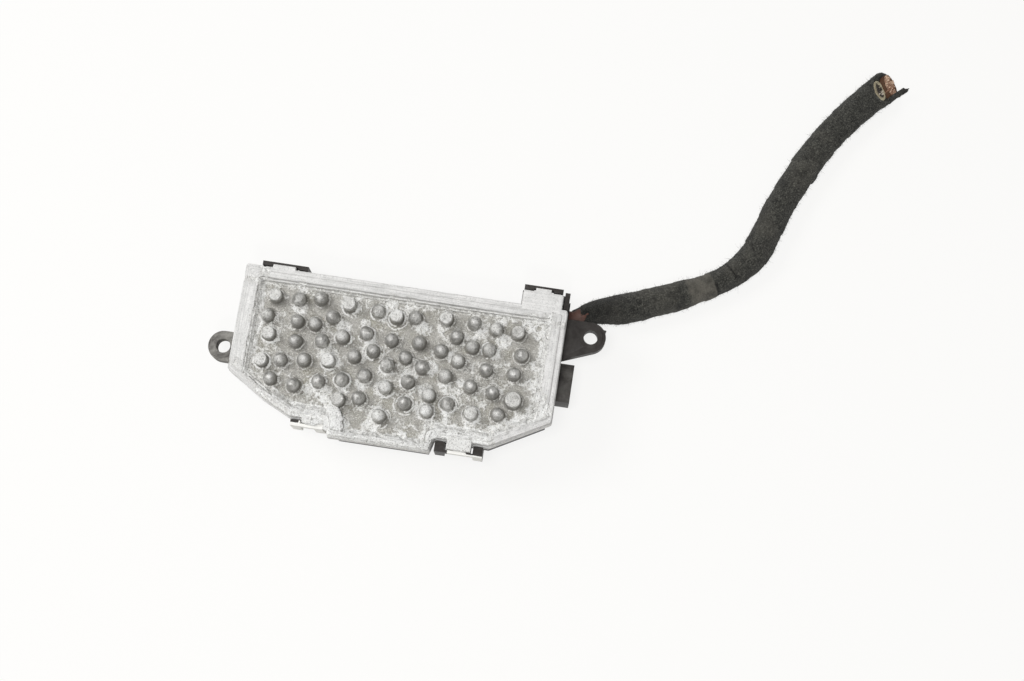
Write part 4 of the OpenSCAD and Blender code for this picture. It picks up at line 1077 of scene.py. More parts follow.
class RESISTOR_OT_cast_tray(bpy.types.Operator):
    """Builds the tray floor as one height field with pin fillets, soil and oxide mounds"""

    bl_idname = "resistor.cast_tray"
    bl_label = "Cast Tray"

    def execute(self, context):
        settings = context.scene.resistor_casting
        left, right, back, front = tray_edge()
        columns, rows = 452, 212
        x = np.linspace(left, right, columns)
        near = np.interp(x, front[:, 0], front[:, 1])
        share = np.linspace(0, 1, rows)[:, None]
        plan = joined(x, back + (near - back) * share)
        points = lifted(plan, TRAY_Z)
        cover, lumps = crust_and_lumps(points, settings.crust, 0.5)
        ring, foot_shadow = foot_marks(points)
        cover = np.clip(np.maximum(cover, ring * settings.crust), 0, 1)
        lumps = np.maximum(lumps, 0.7 * ring)
        points[..., 2] += tray_relief(plan) + lumps * settings.crust_height * 1000
        bank, banked = crust_bank(plan, settings.crust)
        points[..., 2] += np.maximum(bank - points[..., 2], 0) * banked
        soil = 0.8 + 0.2 * smooth_step(0.35, 0.65, cloud(lifted(plan), 5.5, 47, 3))

        under = lifted(np.concatenate([joined(x, near), joined(x, back)]), BASE_Z + 0.05)
        whole = np.concatenate([points.reshape(-1, 3), under])
        ids = np.arange(rows * columns).reshape(rows, columns)
        low_front, low_back = (rows * columns + np.arange(2 * columns)).reshape(2, columns)
        walls = [
            np.stack([ids[0, 1:], ids[0, :-1], low_back[:-1], low_back[1:]], -1),
            np.stack([ids[-1, :-1], ids[-1, 1:], low_front[1:], low_front[:-1]], -1),
            np.stack([low_back[1:], low_back[:-1], low_front[:-1], low_front[1:]], -1),
            np.concatenate([ids[:, 0], [low_front[0], low_back[0]]])[None],
            np.concatenate([ids[::-1, -1], [low_back[-1], low_front[-1]]])[None],
        ]
        faces = [grid_faces(rows, columns)[:, ::-1], *walls]
        # The tray's painted shade is the painted shadow beside each pin's foot
        marks = {"oxide": cover, "soil": soil, "painted_shade": 0.72 * foot_shadow * (1 - cover)}
        notes = {key: np.concatenate([mark.ravel(), np.zeros(len(under))]) for key, mark in marks.items()}
        notes["grain_way"] = whole
        finish = casting_finish("tray_casting", settings, 0.0, skin=tone(176, 174, 168)[:3], grain=1.6)
        add_casting("casting_tray", whole, faces, finish, notes, 80)
        return {"FINISHED"}


def pin_sections(foot_r, top_r, height, domed):
    """Radius and height of each pin's section, upwards: the fillet of the foot, then a bullet or a drum
    with draft. A bullet's rows are shares of the height and of the foot's radius. A drum's rows are the
    share of the height, the share of the draft, and what the rounding of the edge takes off the radius of a
    flat pin."""
    fillet = [(0.6, -0.5), (0.55, 0.02), (0.28, 0.2), (0.08, 0.55)]
    bullet = [
        (0.25, 1.0), (0.42, 0.97), (0.58, 0.93), (0.7, 0.87), (0.79, 0.79), (0.86, 0.69), (0.915, 0.57),
        (0.955, 0.43), (0.98, 0.28), (0.995, 0.12),
    ]
    drum = [
        (0.25, 0.0, 0.0), (0.5, 0.3, 0.0), (0.75, 0.7, 0.0), (0.93, 1.0, 0.0), (0.98, 1.0, 0.05),
        (0.995, 1.0, 0.16), (1.0, 1.0, 0.36), (1.0, 1.0, 0.7), (1.0, 1.0, 1.05), (1.0, 1.0, 1.45),
    ]
    section = [(foot_r + wide, rise + 0 * height) for wide, rise in fillet]
    for (up, size), (flat_up, draft, less) in zip(bullet, drum):
        flat_r = foot_r + (top_r - foot_r) * draft - less * top_r / (FLAT_SIZE[0] / 2)
        r = np.where(domed > 0, foot_r * size, flat_r)
        section.append((r, height * np.where(domed > 0, up, flat_up)))
    return (np.concatenate(rows, 1)[:, :, None] for rows in zip(*section))


class RESISTOR_OT_grow_pins(bpy.types.Operator):
    """Builds the cooling pins: turned sections with draft, a filleted foot and a rough skin"""

    bl_idname = "resistor.grow_pins"
    bl_label = "Grow Pins"

    def execute(self, context):
        settings = context.scene.resistor_casting
        centres, pins = pin_table()
        top_r, foot_r, height, domed = np.split(pins * [0.5, 0.5, 1, 1], 4, axis=1)
        r, z = pin_sections(foot_r, top_r, height, domed)
        angle = circle(PIN_SIDES)
        ring = joined(r * np.cos(angle), r * np.sin(angle), z + TRAY_Z)
        # Way out of the skin: level on the wall, and upwards within 1.6 mm of the top
        out = ring.copy()
        out[..., 2] = np.maximum(z - height[:, :, None] + 1.6, 0)
        out /= np.maximum(np.linalg.norm(out, axis=-1, keepdims=True), 1e-6)
        ring[..., :2] += centres[:, None, None, :]
        cover, lumps = crust_and_lumps(ring, settings.crust)
        caps = np.array([CAPS.get(number, PLAIN_CAP) for number in range(len(pins))])[:, None, None]
        up = ring[..., 2] - TRAY_Z
        from_top = up - height[:, :, None]
        top = smooth_step(-1.9, -0.6, from_top)
        cover = np.maximum(0.5 * cover, caps * top * (0.45 + 1.1 * cloud(ring, 0.9, 53, 3)))
        lumps = 0.4 * lumps + 0.3 * caps * top * cloud(ring, 0.8, 55, 3)
        skin = 0.16 * (cloud(ring, 1.1, 61, 3) - 0.5) + lumps * settings.crust_height * 1000
        ring = ring + out * skin[..., None]
        ring[..., 2] = np.minimum(ring[..., 2] - 0.12 * smooth_step(-2.0, 0.0, from_top), PIN_TOP)
        wall = smooth_fall(-3.0, -1.3, from_top + 0.8 * (cloud(ring, 1.0, 69, 2) - 0.5))
        # Painted shade on the pins: darker low on the wall near the foot, and on the wall's lower right side,
        # away from the key lamp
        shade = np.clip(0.85 * np.cos(angle) - 0.5 * np.sin(angle), 0, 1)
        dark = (0.1 * wall + 0.3 * smooth_fall(0.3, 2.6, up) + 0.55 * shade * wall) * (1 - cover)
        soil = np.clip(0.06 + 0.85 * wall, 0, 1)
        points, faces = capped_tubes(ring)
        notes = {"oxide": cover.ravel(), "soil": soil.ravel(), "painted_shade": dark.ravel(), "grain_way": points}
        finish = casting_finish(
            "pin_casting", settings, 0.0, skin=tone(222, 221, 218)[:3], grain=2.6, shine=0.6, rough=0.36,
            streak=(118, 116, 110), mottle=0.55,
        )
        add_casting("cooling_pins", points, faces, finish, notes, 60)
        return {"FINISHED"}


def lug_section(out):
    """Side view of a lug as distance from the edge and height: it fills the loop's window and hooks under the
    bar."""
    foot, top, hook, inside = RIM_Z - 4.0, RIM_Z - 2.7, out + 0.6, -0.8
    return np.array(
        [
            [inside, foot], [out, foot], [hook, top - 0.4], [hook, top], [out, top], [out, BAND_Z],
            [inside, BAND_Z],
        ]
    )


def prism(section, x0, x1):
    """Closed prism: a section in the YZ plane carried from one X to another, in six steps."""
    stations = np.linspace(x0, x1, 7)
    return capped_tubes(joined(stations[:, None], section[:, 0], section[:, 1])[None])


class RESISTOR_OT_cast_tab(bpy.types.Operator):
    """Builds the back tab, the lugs in the snap loops, and the rib and boss under the plate"""

    bl_idname = "resistor.cast_tab"
    bl_label = "Cast Tab and Lugs"

    def execute(self, context):
        finish = casting_finish("tab_casting", context.scene.resistor_casting, 0.5, shine=0.15)
        self.tab(finish)
        self.lugs(finish)
        section = [(2.05, 18.3), (2.05, 16.4), (2.15, 16.3), (3.15, 16.3), (3.25, 16.4), (3.25, 18.3)]
        rings = [lifted(rounded_ring(RIB_LINE, inset, 0.3, 2.0, 3), z) for inset, z in section]
        self.add_clean("casting_rib", np.array(rings), finish)
        angle = circle(40)
        section = np.array([[2.9, 18.3], [2.9, 13.5], [2.7, 13.3], [1.6, 13.3], [1.45, 13.45], [1.45, 18.3]])
        r, z = section[:, :1], section[:, 1:]
        rings = joined(BOSS[0] + r * np.cos(angle), BOSS[1] + r * np.sin(angle), z)
        self.add_clean("casting_boss", rings, finish)
        return {"FINISHED"}

    def tab(self, finish):
        """Adds the tab at the back. It has the rim's flange, and a top that is a little uneven."""
        section = [(0.2, BASE_Z)] + [(inset, z) for inset, z, _ in FLANGE]
        section += [(0.0, 23.96), (0.07, 24.14), (0.26, 24.22), (0.7, 24.235), (1.6, 24.235), (2.6, 24.235)]
        grid = np.array([lifted(rounded_ring(TAB, inset, 0.5, 0.35), z) for inset, z in section])
        grid = grid + 0.03 * (cloud(grid, 1.4, 83) - 0.5)[..., None] * [0.3, 0.3, 1.0]
        points, faces = capped_tubes(grid[None])
        notes = {"oxide": 0.12 * cloud(points, 2.0, 85), "grain_way": points}
        add_casting("casting_tab", points, faces, finish, notes, 50)

    def lugs(self, finish):
        """Adds the lug in each snap loop. Those at the front are crusted."""
        for number, ((x, y), facing, width, reach) in enumerate(LUGS, 1):
            half = (width - 2 * LOOP_LEG - 2 * LOOP_GAP) / 2
            section = lug_section(reach - LOOP_BAR)
            section = joined(y + facing * section[:, 0], section[:, 1])
            points, faces = prism(section, x - half, x + half)
            notes = {"oxide": (0.5 + 0.5 * cloud(points, 1.0, 87)) * (facing < 0), "grain_way": points}
            lug = add_casting(f"casting_lug_{number}", points, faces, finish, notes, 30)
            round_edges(lug, 0.00016)

    def add_clean(self, name, rings, finish):
        """Adds a loop of rings that is free of oxide."""
        points, faces = closed_loop(rings)
        add_casting(name, points, faces, finish, {"oxide": np.zeros(len(points)), "grain_way": points}, 40)


def lumpy_bar(path, radii, seed):
    """Crust bar: an ellipse carried along a path and pushed out and in by a cloud. Its radii close at both
    ends: the root of one minus the cube of the share from the middle multiplies them."""
    curve, run = evenly(catmull_rom(np.array(path, float), 12), 0.22)
    _, side = route_frame(curve)
    share = np.clip(2 * run / run[-1] - 1, -0.997, 0.997)
    close = (1 - np.abs(share) ** 3) ** 0.5
    angle = circle(30)[None, :, None]
    width, height = radii
    spokes = (side[:, None] * np.cos(angle) * width + UP * np.sin(angle) * height) * close[:, None, None]
    base = curve[:, None] + spokes
    swell = 0.5 + 1.1 * cloud(base, 1.1, seed, 4) + 0.3 * (veins(base, 0.8, seed + 5) - 0.4)
    return curve[:, None] + spokes * swell[..., None]


class RESISTOR_OT_grow_crust(bpy.types.Operator):
    """Builds the thick white oxide over the two front loops and the ridge at the front left of the tray"""

    bl_idname = "resistor.grow_crust"
    bl_label = "Grow Crust"

    def execute(self, context):
        finish = casting_finish("thick_oxide", context.scene.resistor_casting, 0.0, grain=3.6)
        for number, (path, radii, seed) in enumerate(CRUST_BARS, 1):
            points, faces = capped_tubes(lumpy_bar(path, radii, seed)[None])
            notes = {"oxide": 0.95 + 0.3 * cloud(points, 1.0, seed), "grain_way": points}
            add_casting(f"oxide_ridge_{number}", points, faces, finish, notes, 70)
        return {"FINISHED"}


# The housing and the parts in it


def housing_dust(w):
    """Dust amount of the housing: low, high on the left ear and a little higher on the socket."""
    x, y, _ = w.axes()
    socket = w.times(w.spread(x, *SOCKET_X, 0.0, 0.2), w.spread(y, *SOCKET_Y))
    return w.plus(w.spread(x, *EAR_X, 0.1, 0.95), socket)


def front_oxide(w):
    """Oxide amount of the housing: it grows with height on the front face, and is none on the free legs."""
    x, y, z = w.axes()
    shown = w.times(w.spread(y, *FRONT_Y), w.spread(z, *CRUST_HEIGHTS, 0.08, 1.05))
    for low, high, front in FREE_LEGS:
        leg = w.times(w.spread(x, low, low + SOFT_EDGE), w.spread(x, high, high - SOFT_EDGE))
        leg = w.times(leg, w.spread(y, front, front + SOFT_EDGE))
        shown = w.times(shown, w.minus(1.0, leg))
    return shown


class RESISTOR_OT_mould_housing(bpy.types.Operator):
    """Rounds the edges of the housing's moulding and gives it worn black plastic"""

    bl_idname = "resistor.mould_housing"
    bl_label = "Mould Housing"

    def execute(self, context):
        settings = context.scene.resistor_housing
        mesh = frame["nodes"]["housing"].data.copy()
        mesh.name = "housing_moulding"
        shape = bmesh.new()
        shape.from_mesh(mesh)
        bmesh.ops.remove_doubles(shape, verts=shape.verts, dist=1e-6)
        bmesh.ops.dissolve_limit(shape, angle_limit=math.radians(0.5), verts=shape.verts, edges=shape.edges)
        shape.to_mesh(mesh)
        shape.free()
        mesh.materials.clear()
        mesh.polygons.foreach_set("use_smooth", np.ones(len(mesh.polygons), bool))
        values = {"Plastic": opaque(settings.plastic), "Grain Scale": 2200.0, "Gloss Wear": 0.35}
        linked = {"Dust Amount": housing_dust, "Oxide Amount": front_oxide}
        shader = {"Specular IOR Level": 0.2}
        finish = finish_of("housing_plastic", "moulding", values, (0.35, 0.00008), shader, linked)
        piece = place_piece(mesh, finish, 30, "housing_plastic", "housing")
        round_edges(piece, settings.edge, 40)
        return {"FINISHED"}


def plastic(colour, dust=0.2):
    """Look of a small part of plastic or rubber: its effect group, values, relief and shader settings."""
    return "moulding", {"Plastic": colour, "Dust Amount": dust}, (0.3, 0.00006), {}


def metal(colour, tarnish, amount):
    """Look of a small metal part: its effect group, values, relief and shader settings."""
    values = {"Metal": colour, "Tarnish": tarnish, "Tarnish Amount": amount}
    return "metal", values, (0.2, 0.00003), {"Metallic": 0.9}


class RESISTOR_OT_finish_inner_parts(bpy.types.Operator):
    """Gives every CAD node that stays a finish of its own: seal, board, screws, transistors, coils and
    contacts"""

    bl_idname = "resistor.finish_inner_parts"
    bl_label = "Finish Inner Parts"

    def execute(self, context):
        finishes = {
            "cast_aluminium": metal(tone(190, 191, 193), tone(140, 138, 132), 0.4),
            "housing_plastic": plastic(tone(40, 39, 41)),
            "seal_rubber": plastic(tone(44, 44, 45), 0.15),
            "board_laminate": plastic(tone(34, 92, 60), 0.1),
            "zinc_steel": metal(tone(196, 198, 200), tone(150, 146, 134), 0.4),
            "spring_steel": metal(tone(160, 163, 168), tone(110, 106, 100), 0.35),
            "mould_compound": plastic(tone(46, 46, 48), 0.1),
            "heat_pad": plastic(tone(176, 186, 196), 0.1),
            "capacitor_sleeve": plastic(tone(34, 42, 92), 0.05),
            "ferrite": plastic(tone(78, 78, 80), 0.15),
            "enamelled_copper": metal(tone(176, 92, 52), tone(120, 56, 34), 0.5),
            "resistance_alloy": metal(tone(176, 142, 112), tone(120, 94, 70), 0.4),
            "tinned_brass": metal(tone(200, 196, 184), tone(160, 140, 96), 0.4),
            "bare_copper": metal(tone(200, 134, 98), tone(112, 70, 48), 0.5),
            "brown_insulation": plastic(tone(112, 66, 46), 0.1),
            "dark_insulation": plastic(tone(78, 52, 42), 0.1),
            "fleece_tape": plastic(tone(46, 46, 46), 0.3),
        }
        made = {}
        slots = {row["node"]: row["material_slot"] for row in frame["record"]["subparts"]}
        for name, node in frame["nodes"].items():
            slot = slots[name]
            if slot not in made:
                group, values, bump, shader = finishes[slot]
                made[slot] = finish_of(f"inner_{slot}", group, values, bump, shader)
            node.data.materials.clear()
            node.data.materials.append(made[slot])
        return {"FINISHED"}


# The loom


def loom_size(share):
    """Full width and height of the taped loom at shares of its length."""
    return LOOM_W[0] + (LOOM_W[1] - LOOM_W[0]) * share, LOOM_H[0] + (LOOM_H[1] - LOOM_H[0]) * share


def loom_route():
    """The loom's middle, with the share of its length, as the part's source lays it: it comes down from the
    exit until the loom lies on the table."""
    share = np.arange(len(LOOM_STEPS)) / (len(LOOM_STEPS) - 1)
    _, height = loom_size(share)
    points = EXIT + LOOM_STEPS
    points[:, 2] = np.maximum(points[:, 2], height / 2 + 0.05)
    return points, share


def loom_grid(pitch):
    """Points of the tape. Its section is an ellipse. Each turn of the tape lies over the last one, so the
    radius falls slowly along a turn and steps up at the next, on a slanting line. Clouds make it uneven,
    more so on the right."""
    points, share = loom_route()
    curve, run = evenly(catmull_rom(np.column_stack([points, share, LOOM_WAIST]), 24), TAPE_SPACING)
    middle, share, waist = curve[:, :3], curve[:, 3], curve[:, 4]
    way, side = route_frame(middle)
    width, height = loom_size(share)
    angle = circle(TAPE_SIDES, -math.pi / 2)
    c, s = np.cos(angle), np.sin(angle)
    along = run[:, None]
    rough = joined(along, TAPE_RADIUS * c, TAPE_RADIUS * s)
    turn = along / pitch + 0.13 * c + 0.05 * s
    turn = turn + 0.1 * (cloud(rough, 5.0, 131, 2) - 0.5)
    index = np.floor(turn)
    step = 0.08 + 0.42 * lattice(joined(index, 0 * index, 0 * index) + 50, 7) ** 2
    overlap = step * (1 - (turn - index)) ** 1.5
    uneven = 0.5 * (cloud(rough, 3.6, 137) - 0.5) + 0.16 * (cloud(rough, 1.1, 139) - 0.5)
    uneven = uneven + 0.09 * (cloud(rough, 0.45, 149, 2) - 0.5)
    ragged = 0.5 * smooth_step(0.55, 1.0, c) * (cloud(rough, 2.2, 151, 3) - 0.35)
    swell = overlap + uneven + ragged - 0.2
    aside = ((width * waist / 2)[:, None] + swell) * c
    above = ((height / 2)[:, None] + 0.6 * swell) * s
    near_cut = smooth_step(run[-1] - CUT_REACH, run[-1], along)
    back = near_cut * (CUT_LEAN * (s + 0.12) + CUT_SKEW * aside)
    ring = middle[:, None] + side[:, None] * aside[..., None] + UP * above[..., None]
    ring = ring - way[:, None] * back[..., None]
    edge = 0.5 * (cloud(rough[-1:], 0.9, 157, 3) - 0.4)
    ring[-1:] += way[-1] * edge[..., None]
    ring[..., 2] = np.maximum(ring[..., 2], 0.04)
    return ring, joined(along, TAPE_RADIUS * angle, 0 * along), middle, run, way, side


# The cut ends: each one's place to the right, up the cut and ahead, the half sizes of its insulation and
# its bore, how far the bore lies low, how far its strands stand out, and its looks
CUT_ENDS = [
    # The upper end's strands are painted: most near black as painted shade in its bore, a few near white as
    # painted glints
    {
        "place": (0.15, 1.8, -0.35), "half": (3.05, 1.4), "bore": (2.4, 1.0), "low": 0.2,
        "stand": (-0.8, 0.0), "slot": "brown_insulation", "skin": tone(196, 188, 160),
        "metal": tone(226, 216, 200), "tarnish": tone(44, 36, 32), "painted_glints": True,
    },
    {
        "place": (0.6, -1.6, 0.2), "half": (3.6, 1.75), "bore": (3.3, 1.45), "low": 0.0,
        "stand": (-0.25, 0.3), "slot": "dark_insulation", "skin": tone(84, 52, 36),
        "metal": tone(238, 206, 178), "tarnish": tone(140, 92, 66), "painted_glints": False,
    },
]


class RESISTOR_OT_run_loom(bpy.types.Operator):
    bl_idname = "resistor.run_loom"
    bl_label = "Run Loom"

    def execute(self, context):
        settings = context.scene.resistor_loom
        shader = {"Sheen Weight": 0.12, "Sheen Roughness": 0.6, "Specular IOR Level": 0.05}
        linked = {"Worn Amount": note_source("worn"), "Dark Amount": note_source("dark")}
        cloth = {"Cloth": opaque(settings.cloth)}
        finish = finish_of("fleece_tape", "fleece", cloth, (1.0, 0.0003), shader, linked)
        ring, note, middle, run, way, side = loom_grid(settings.tape_pitch * 1000)
        tip, ahead, across = middle[-1], way[-1], side[-1]
        loom = self.tape(ring, note, middle, way, side, finish)
        threads = self.loose_threads(ring, settings.fluff, finish)
        flap = self.tape_flap(tip, ahead, across, finish)
        wires = self.wires(settings)
        slope = UP - ahead * CUT_LEAN / (LOOM_H[1] / 2)
        ends = self.cut_ends(tip, (across - CUT_SKEW * ahead, slope, ahead))
        path = to_metres(middle[::6].tolist() + [middle[-1].tolist()])
        tuple(to_metres(EXIT))
        return {"FINISHED"}

    def tape(self, ring, note, middle, way, side, finish):
        """Adds the tape. Four rings lead into it and end in an uneven lip, and four turn inwards at the
        cut. It is worn on one stretch, and has a painted shadow at its start and painted shade in its folds."""
        tip, ahead = middle[-1], way[-1]
        turned_in = [
            tip + (ring[-1] - tip) * scale + ahead * back
            for scale, back in ((0.97, 0.1), (0.92, 0.12), (0.87, -0.1), (0.84, -1.6))
        ]
        first = ring[0] - middle[0]
        lip = 1.5 - 1.1 * (first @ side[0] / LOOM_W[0] * 2) + 1.1 * (cloud(ring[0] + 50, 1.6, 127, 3) - 0.5)
        led_in = [
            middle[0] + first * scale - way[0] * (share * lip)[:, None]
            for scale, share in ((0.5, -0.2), (0.7, 0.9), (0.8, 1.0), (0.93, 0.7))
        ]
        ring = np.concatenate([led_in, ring, turned_in])
        note = np.concatenate([np.repeat(note[:1], 4, 0), note, np.repeat(note[-1:], 4, 0)])
        points, faces = capped_tubes(ring[None])
        run = note[..., 0]
        worn = smooth_step(*WORN_START, run) * smooth_fall(*WORN_END, run)
        worn = worn * (0.6 + cloud(ring, 4.0, 163, 3) - 0.3)
        worn = np.clip(worn + 0.2 * smooth_step(0.55, 0.75, cloud(ring, 8.0, 167, 3)), 0, 1)
        # Painted shadow of the housing over the loom's start, and painted shade in the folds
        dark = 0.55 * smooth_fall(*DARK_START, run) * (0.5 + cloud(ring, 5.0, 169, 3))
        broken = smooth_step(0.42, 0.55, cloud(ring, 4.0, 171, 2))
        for place, width, depth in FOLDS:
            dark = dark + broken * depth * bell(run, place, width)
        notes = {"worn": worn.ravel(), "dark": np.clip(dark, 0, 1).ravel(), "wrap_way": note.reshape(-1, 3)}
        return add_piece("loom_tape", points, faces, finish, "fleece_tape", "taped_loom", notes, 75)

    def loose_threads(self, ring, count, finish):
        """Short bent threads with three sides that start on the tape at random and lean along it."""
        draw = np.random.default_rng(5)
        rows, sides = ring.shape[:2]
        normals = grid_normals(ring, wrap_rows=False)
        centre = ring.mean(1, keepdims=True)
        normals *= np.sign((normals * (ring - centre)).sum(-1, keepdims=True))
        row, column = draw.integers(2, rows - 1, count), draw.integers(0, sides, count)
        keep = ring[row, column, 2] > 0.8
        row, column = row[keep], column[keep]
        count = len(row)
        root, out = ring[row, column], normals[row, column]
        drift = draw.normal(size=(count, 3))
        drift /= np.linalg.norm(drift, axis=1, keepdims=True)
        length = draw.uniform(0.3, 0.95, count) * (1 + 0.9 * (draw.random(count) > 0.95))
        t = np.linspace(0, 1, 4)[None, :, None]
        lean = t * (0.45 * out + 0.75 * drift)[:, None]
        curl = 0.4 * t**2 * draw.normal(size=(count, 1, 3))
        spine = root[:, None] - 0.1 * out[:, None] + length[:, None, None] * (lean + curl)
        spine[..., 2] = np.maximum(spine[..., 2], 0.08)
        thick = 0.038 * draw.uniform(0.6, 1.2, count)[:, None, None] * (1 - 0.7 * t)
        u = np.cross(drift, out)
        u /= np.maximum(np.linalg.norm(u, axis=1, keepdims=True), 1e-6)
        v = np.cross(drift, u)
        angle = circle(3)[None, None, :, None]
        spokes = np.cos(angle) * u[:, None, None] + np.sin(angle) * v[:, None, None]
        points, faces = capped_tubes(spine[:, :, None] + thick[..., None] * spokes)
        notes = {"worn": np.full(len(points), 0.3), "dark": np.zeros(len(points)), "wrap_way": points}
        return add_piece("loom_threads", points, faces, finish, "fleece_tape", "taped_loom", notes, 180)

    def tape_flap(self, tip, ahead, across, finish):
        """Strip of tape that runs on past the cut on the right: its two edges run to one frayed tip, and it
        falls outwards from the inner edge."""
        u = np.linspace(-FLAP_HALF, FLAP_HALF, 52)
        inner, outer = np.interp(u, *FLAP_INNER), np.interp(u, *FLAP_OUTER)
        t = np.linspace(0, 1, 11)
        rough = joined(u[:, None], 2 * t, 0 * t)
        fray = smooth_step(0.0, 4.5, u)[:, None] * (cloud(rough, 0.7, 173, 3) - 0.5)
        wave = 0.5 * (cloud(rough, 0.9, 179, 3) - 0.5)
        sheets = []
        for down in (0.0, 0.45):
            sheet = tip + ahead * (u[:, None] + fray)[..., None]
            sheet = sheet + across * (inner[:, None] + (outer - inner)[:, None] * t + wave)[..., None]
            sheet[..., 2] = np.maximum(tip[2] + 0.8 - 1.9 * t + wave - down, 0.1)
            sheets.append(sheet)
        upper, lower = sheets
        points, faces = capped_tubes(np.concatenate([upper, lower[:, ::-1]], 1)[None])
        notes = {"worn": np.full(len(points), 0.1), "dark": np.full(len(points), 0.25), "wrap_way": points}
        return add_piece("loom_flap", points, faces, finish, "fleece_tape", "taped_loom", notes, 60)

    def wires(self, settings):
        """Round tubes along the wires' route, from inside the grommet into the tape."""
        made = []
        looks = (
            (1, 1, opaque(settings.insulation), "brown_insulation"),
            (2, -1, tone(64, 44, 38), "dark_insulation"),
        )
        for number, level, colour, slot in looks:
            values = {"Plastic": colour, "Dust Amount": 0.18}
            shader = {"Specular IOR Level": 0.15}
            finish = finish_of(f"wire_insulation_{number}", "moulding", values, (0.3, 0.00005), shader)
            route = EXIT + WIRE_STEPS + [0, 0, level * WIRE_PITCH / 2]
            route[:, 1] -= WIRE_SIDEWAYS
            curve, run = evenly(catmull_rom(route, 10), 0.35)
            way, side = route_frame(curve)
            over = np.cross(side, way)
            angle = circle(36)[None, :, None]
            radius = WIRE_RADIUS + 0.05 * (cloud(joined(run, 0.0, float(number)), 2.0, 181, 2) - 0.5)
            spokes = side[:, None] * np.cos(angle) + over[:, None] * np.sin(angle)
            points, faces = capped_tubes((curve[:, None] + spokes * radius[:, None, None])[None])
            name, node = f"loom_wire_{number}", f"wire_{number}"
            made.append(add_piece(name, points, faces, finish, slot, node, {}, 60))
        return made

    def cut_ends(self, tip, axes):
        """The cut wires on the slanting face: a pale ring of insulation round strands above that are painted
        dark for the shade in their bore, with a few painted glints, and a fan of bright copper strands below.
        The axes run to the right, up the cut and ahead."""
        draw = np.random.default_rng(9)
        made = []
        for number, end in enumerate(CUT_ENDS, 1):
            centre = tip + sum(axis * step for axis, step in zip(axes, end["place"]))
            made.append(self.cut_ring(number, end, centre, axes))
            made.append(self.strands(number, end, centre, axes, draw))
        return made

    def cut_ring(self, number, end, centre, axes):
        """Ring of insulation: ovals from its outside over its face into its bore, made uneven by two
        clouds."""
        across, slope, ahead = axes
        angle = circle(48)
        rough = centre + 3 * joined(np.cos(angle), np.sin(angle), 0.0)
        ragged = 1 + 0.2 * (cloud(rough, 1.0, 191 + number, 3) - 0.5)
        forward = 0.4 * (cloud(rough, 1.4, 197 + number, 3) - 0.5)
        (half_w, half_h), (bore_w, bore_h), low = end["half"], end["bore"], end["low"]
        ovals = [
            (half_w, half_h, -1.6, 0.0), (half_w, half_h, -0.15, 0.0),
            (half_w - 0.12, half_h - 0.1, 0.0, 0.0), (bore_w + 0.1, bore_h + 0.1, 0.0, low),
            (bore_w, bore_h, -0.12, low), (bore_w, bore_h, -1.6, low),
        ]
        rings = []
        for wide, high, move, down in ovals:
            aside, above = wide * np.cos(angle) * ragged, high * np.sin(angle) * ragged - down
            face = centre + across * aside[:, None] + slope * above[:, None]
            rings.append(face + ahead * (move + forward)[:, None])
        points, faces = closed_loop(np.array(rings))
        values = {
            "Plastic": end["skin"], "Dust": tone(96, 78, 56), "Dust Amount": 0.55, "Grain Scale": 1500.0,
        }
        shader = {"Specular IOR Level": 0.35}
        skin = finish_of(f"cut_insulation_{number}", "moulding", values, (0.4, 0.0001), shader)
        name, node = f"cut_ring_{number}", f"copper_end_{number}"
        return add_piece(name, points, faces, skin, end["slot"], node, {}, 50)

    def strands(self, number, end, centre, axes, draw):
        """Copper strands: round rods on a hexagonal grid inside the bore's oval, which stand out at
        random."""
        across, slope, ahead = axes
        bore_w, bore_h = end["bore"]
        pitch = 0.52
        u, v = np.meshgrid(np.arange(-7, 8), np.arange(-5, 6))
        spots = joined((u + 0.5 * (v % 2)) * pitch, v * pitch * 0.866).reshape(-1, 2)
        inside = (spots[:, 0] / (bore_w - 0.1)) ** 2 + (spots[:, 1] / (bore_h - 0.05)) ** 2 < 1
        spots = spots[inside] + draw.normal(scale=0.05, size=(inside.sum(), 2))
        stand = draw.uniform(*end["stand"], len(spots))
        tint = draw.random(len(spots))
        # Upper end: most strands take the dark tone as painted shade, the rest the pale tone as painted
        # glints
        if end["painted_glints"]:
            tint = np.where(tint > 0.14, 1.0, 0.1)
        else:
            tint = np.clip(tint + 0.08 * spots[:, 0], 0, 1)
        root = centre + across * spots[:, :1] + slope * (spots[:, 1:] - end["low"])
        run = np.array([-1.5, -0.6, -0.08, 0.06]) + np.where(np.arange(4) > 0, stand[:, None], 0)
        spine = root[:, None] + ahead * run[..., None]
        radius = 0.27 * np.array([1, 1, 1, 0.6])
        ways = circle(8)
        disc = across * np.cos(ways)[:, None] + slope * np.sin(ways)[:, None]
        points, faces = capped_tubes(spine[:, :, None] + radius[None, :, None, None] * disc)
        values = {"Metal": end["metal"], "Tarnish": end["tarnish"], "Evenness": 0.9, "Scale": 1500.0}
        linked = {"Tarnish Amount": note_source("tint")}
        name, node = f"copper_strands_{number}", f"copper_end_{number}"
        copper = finish_of(name, "metal", values, (0.2, 0.00003), {"Metallic": 0.5}, linked)
        notes = {"tint": np.repeat(tint, len(radius) * len(ways))}
        return add_piece(name, points, faces, copper, "bare_copper", node, notes, 50)


# The stage


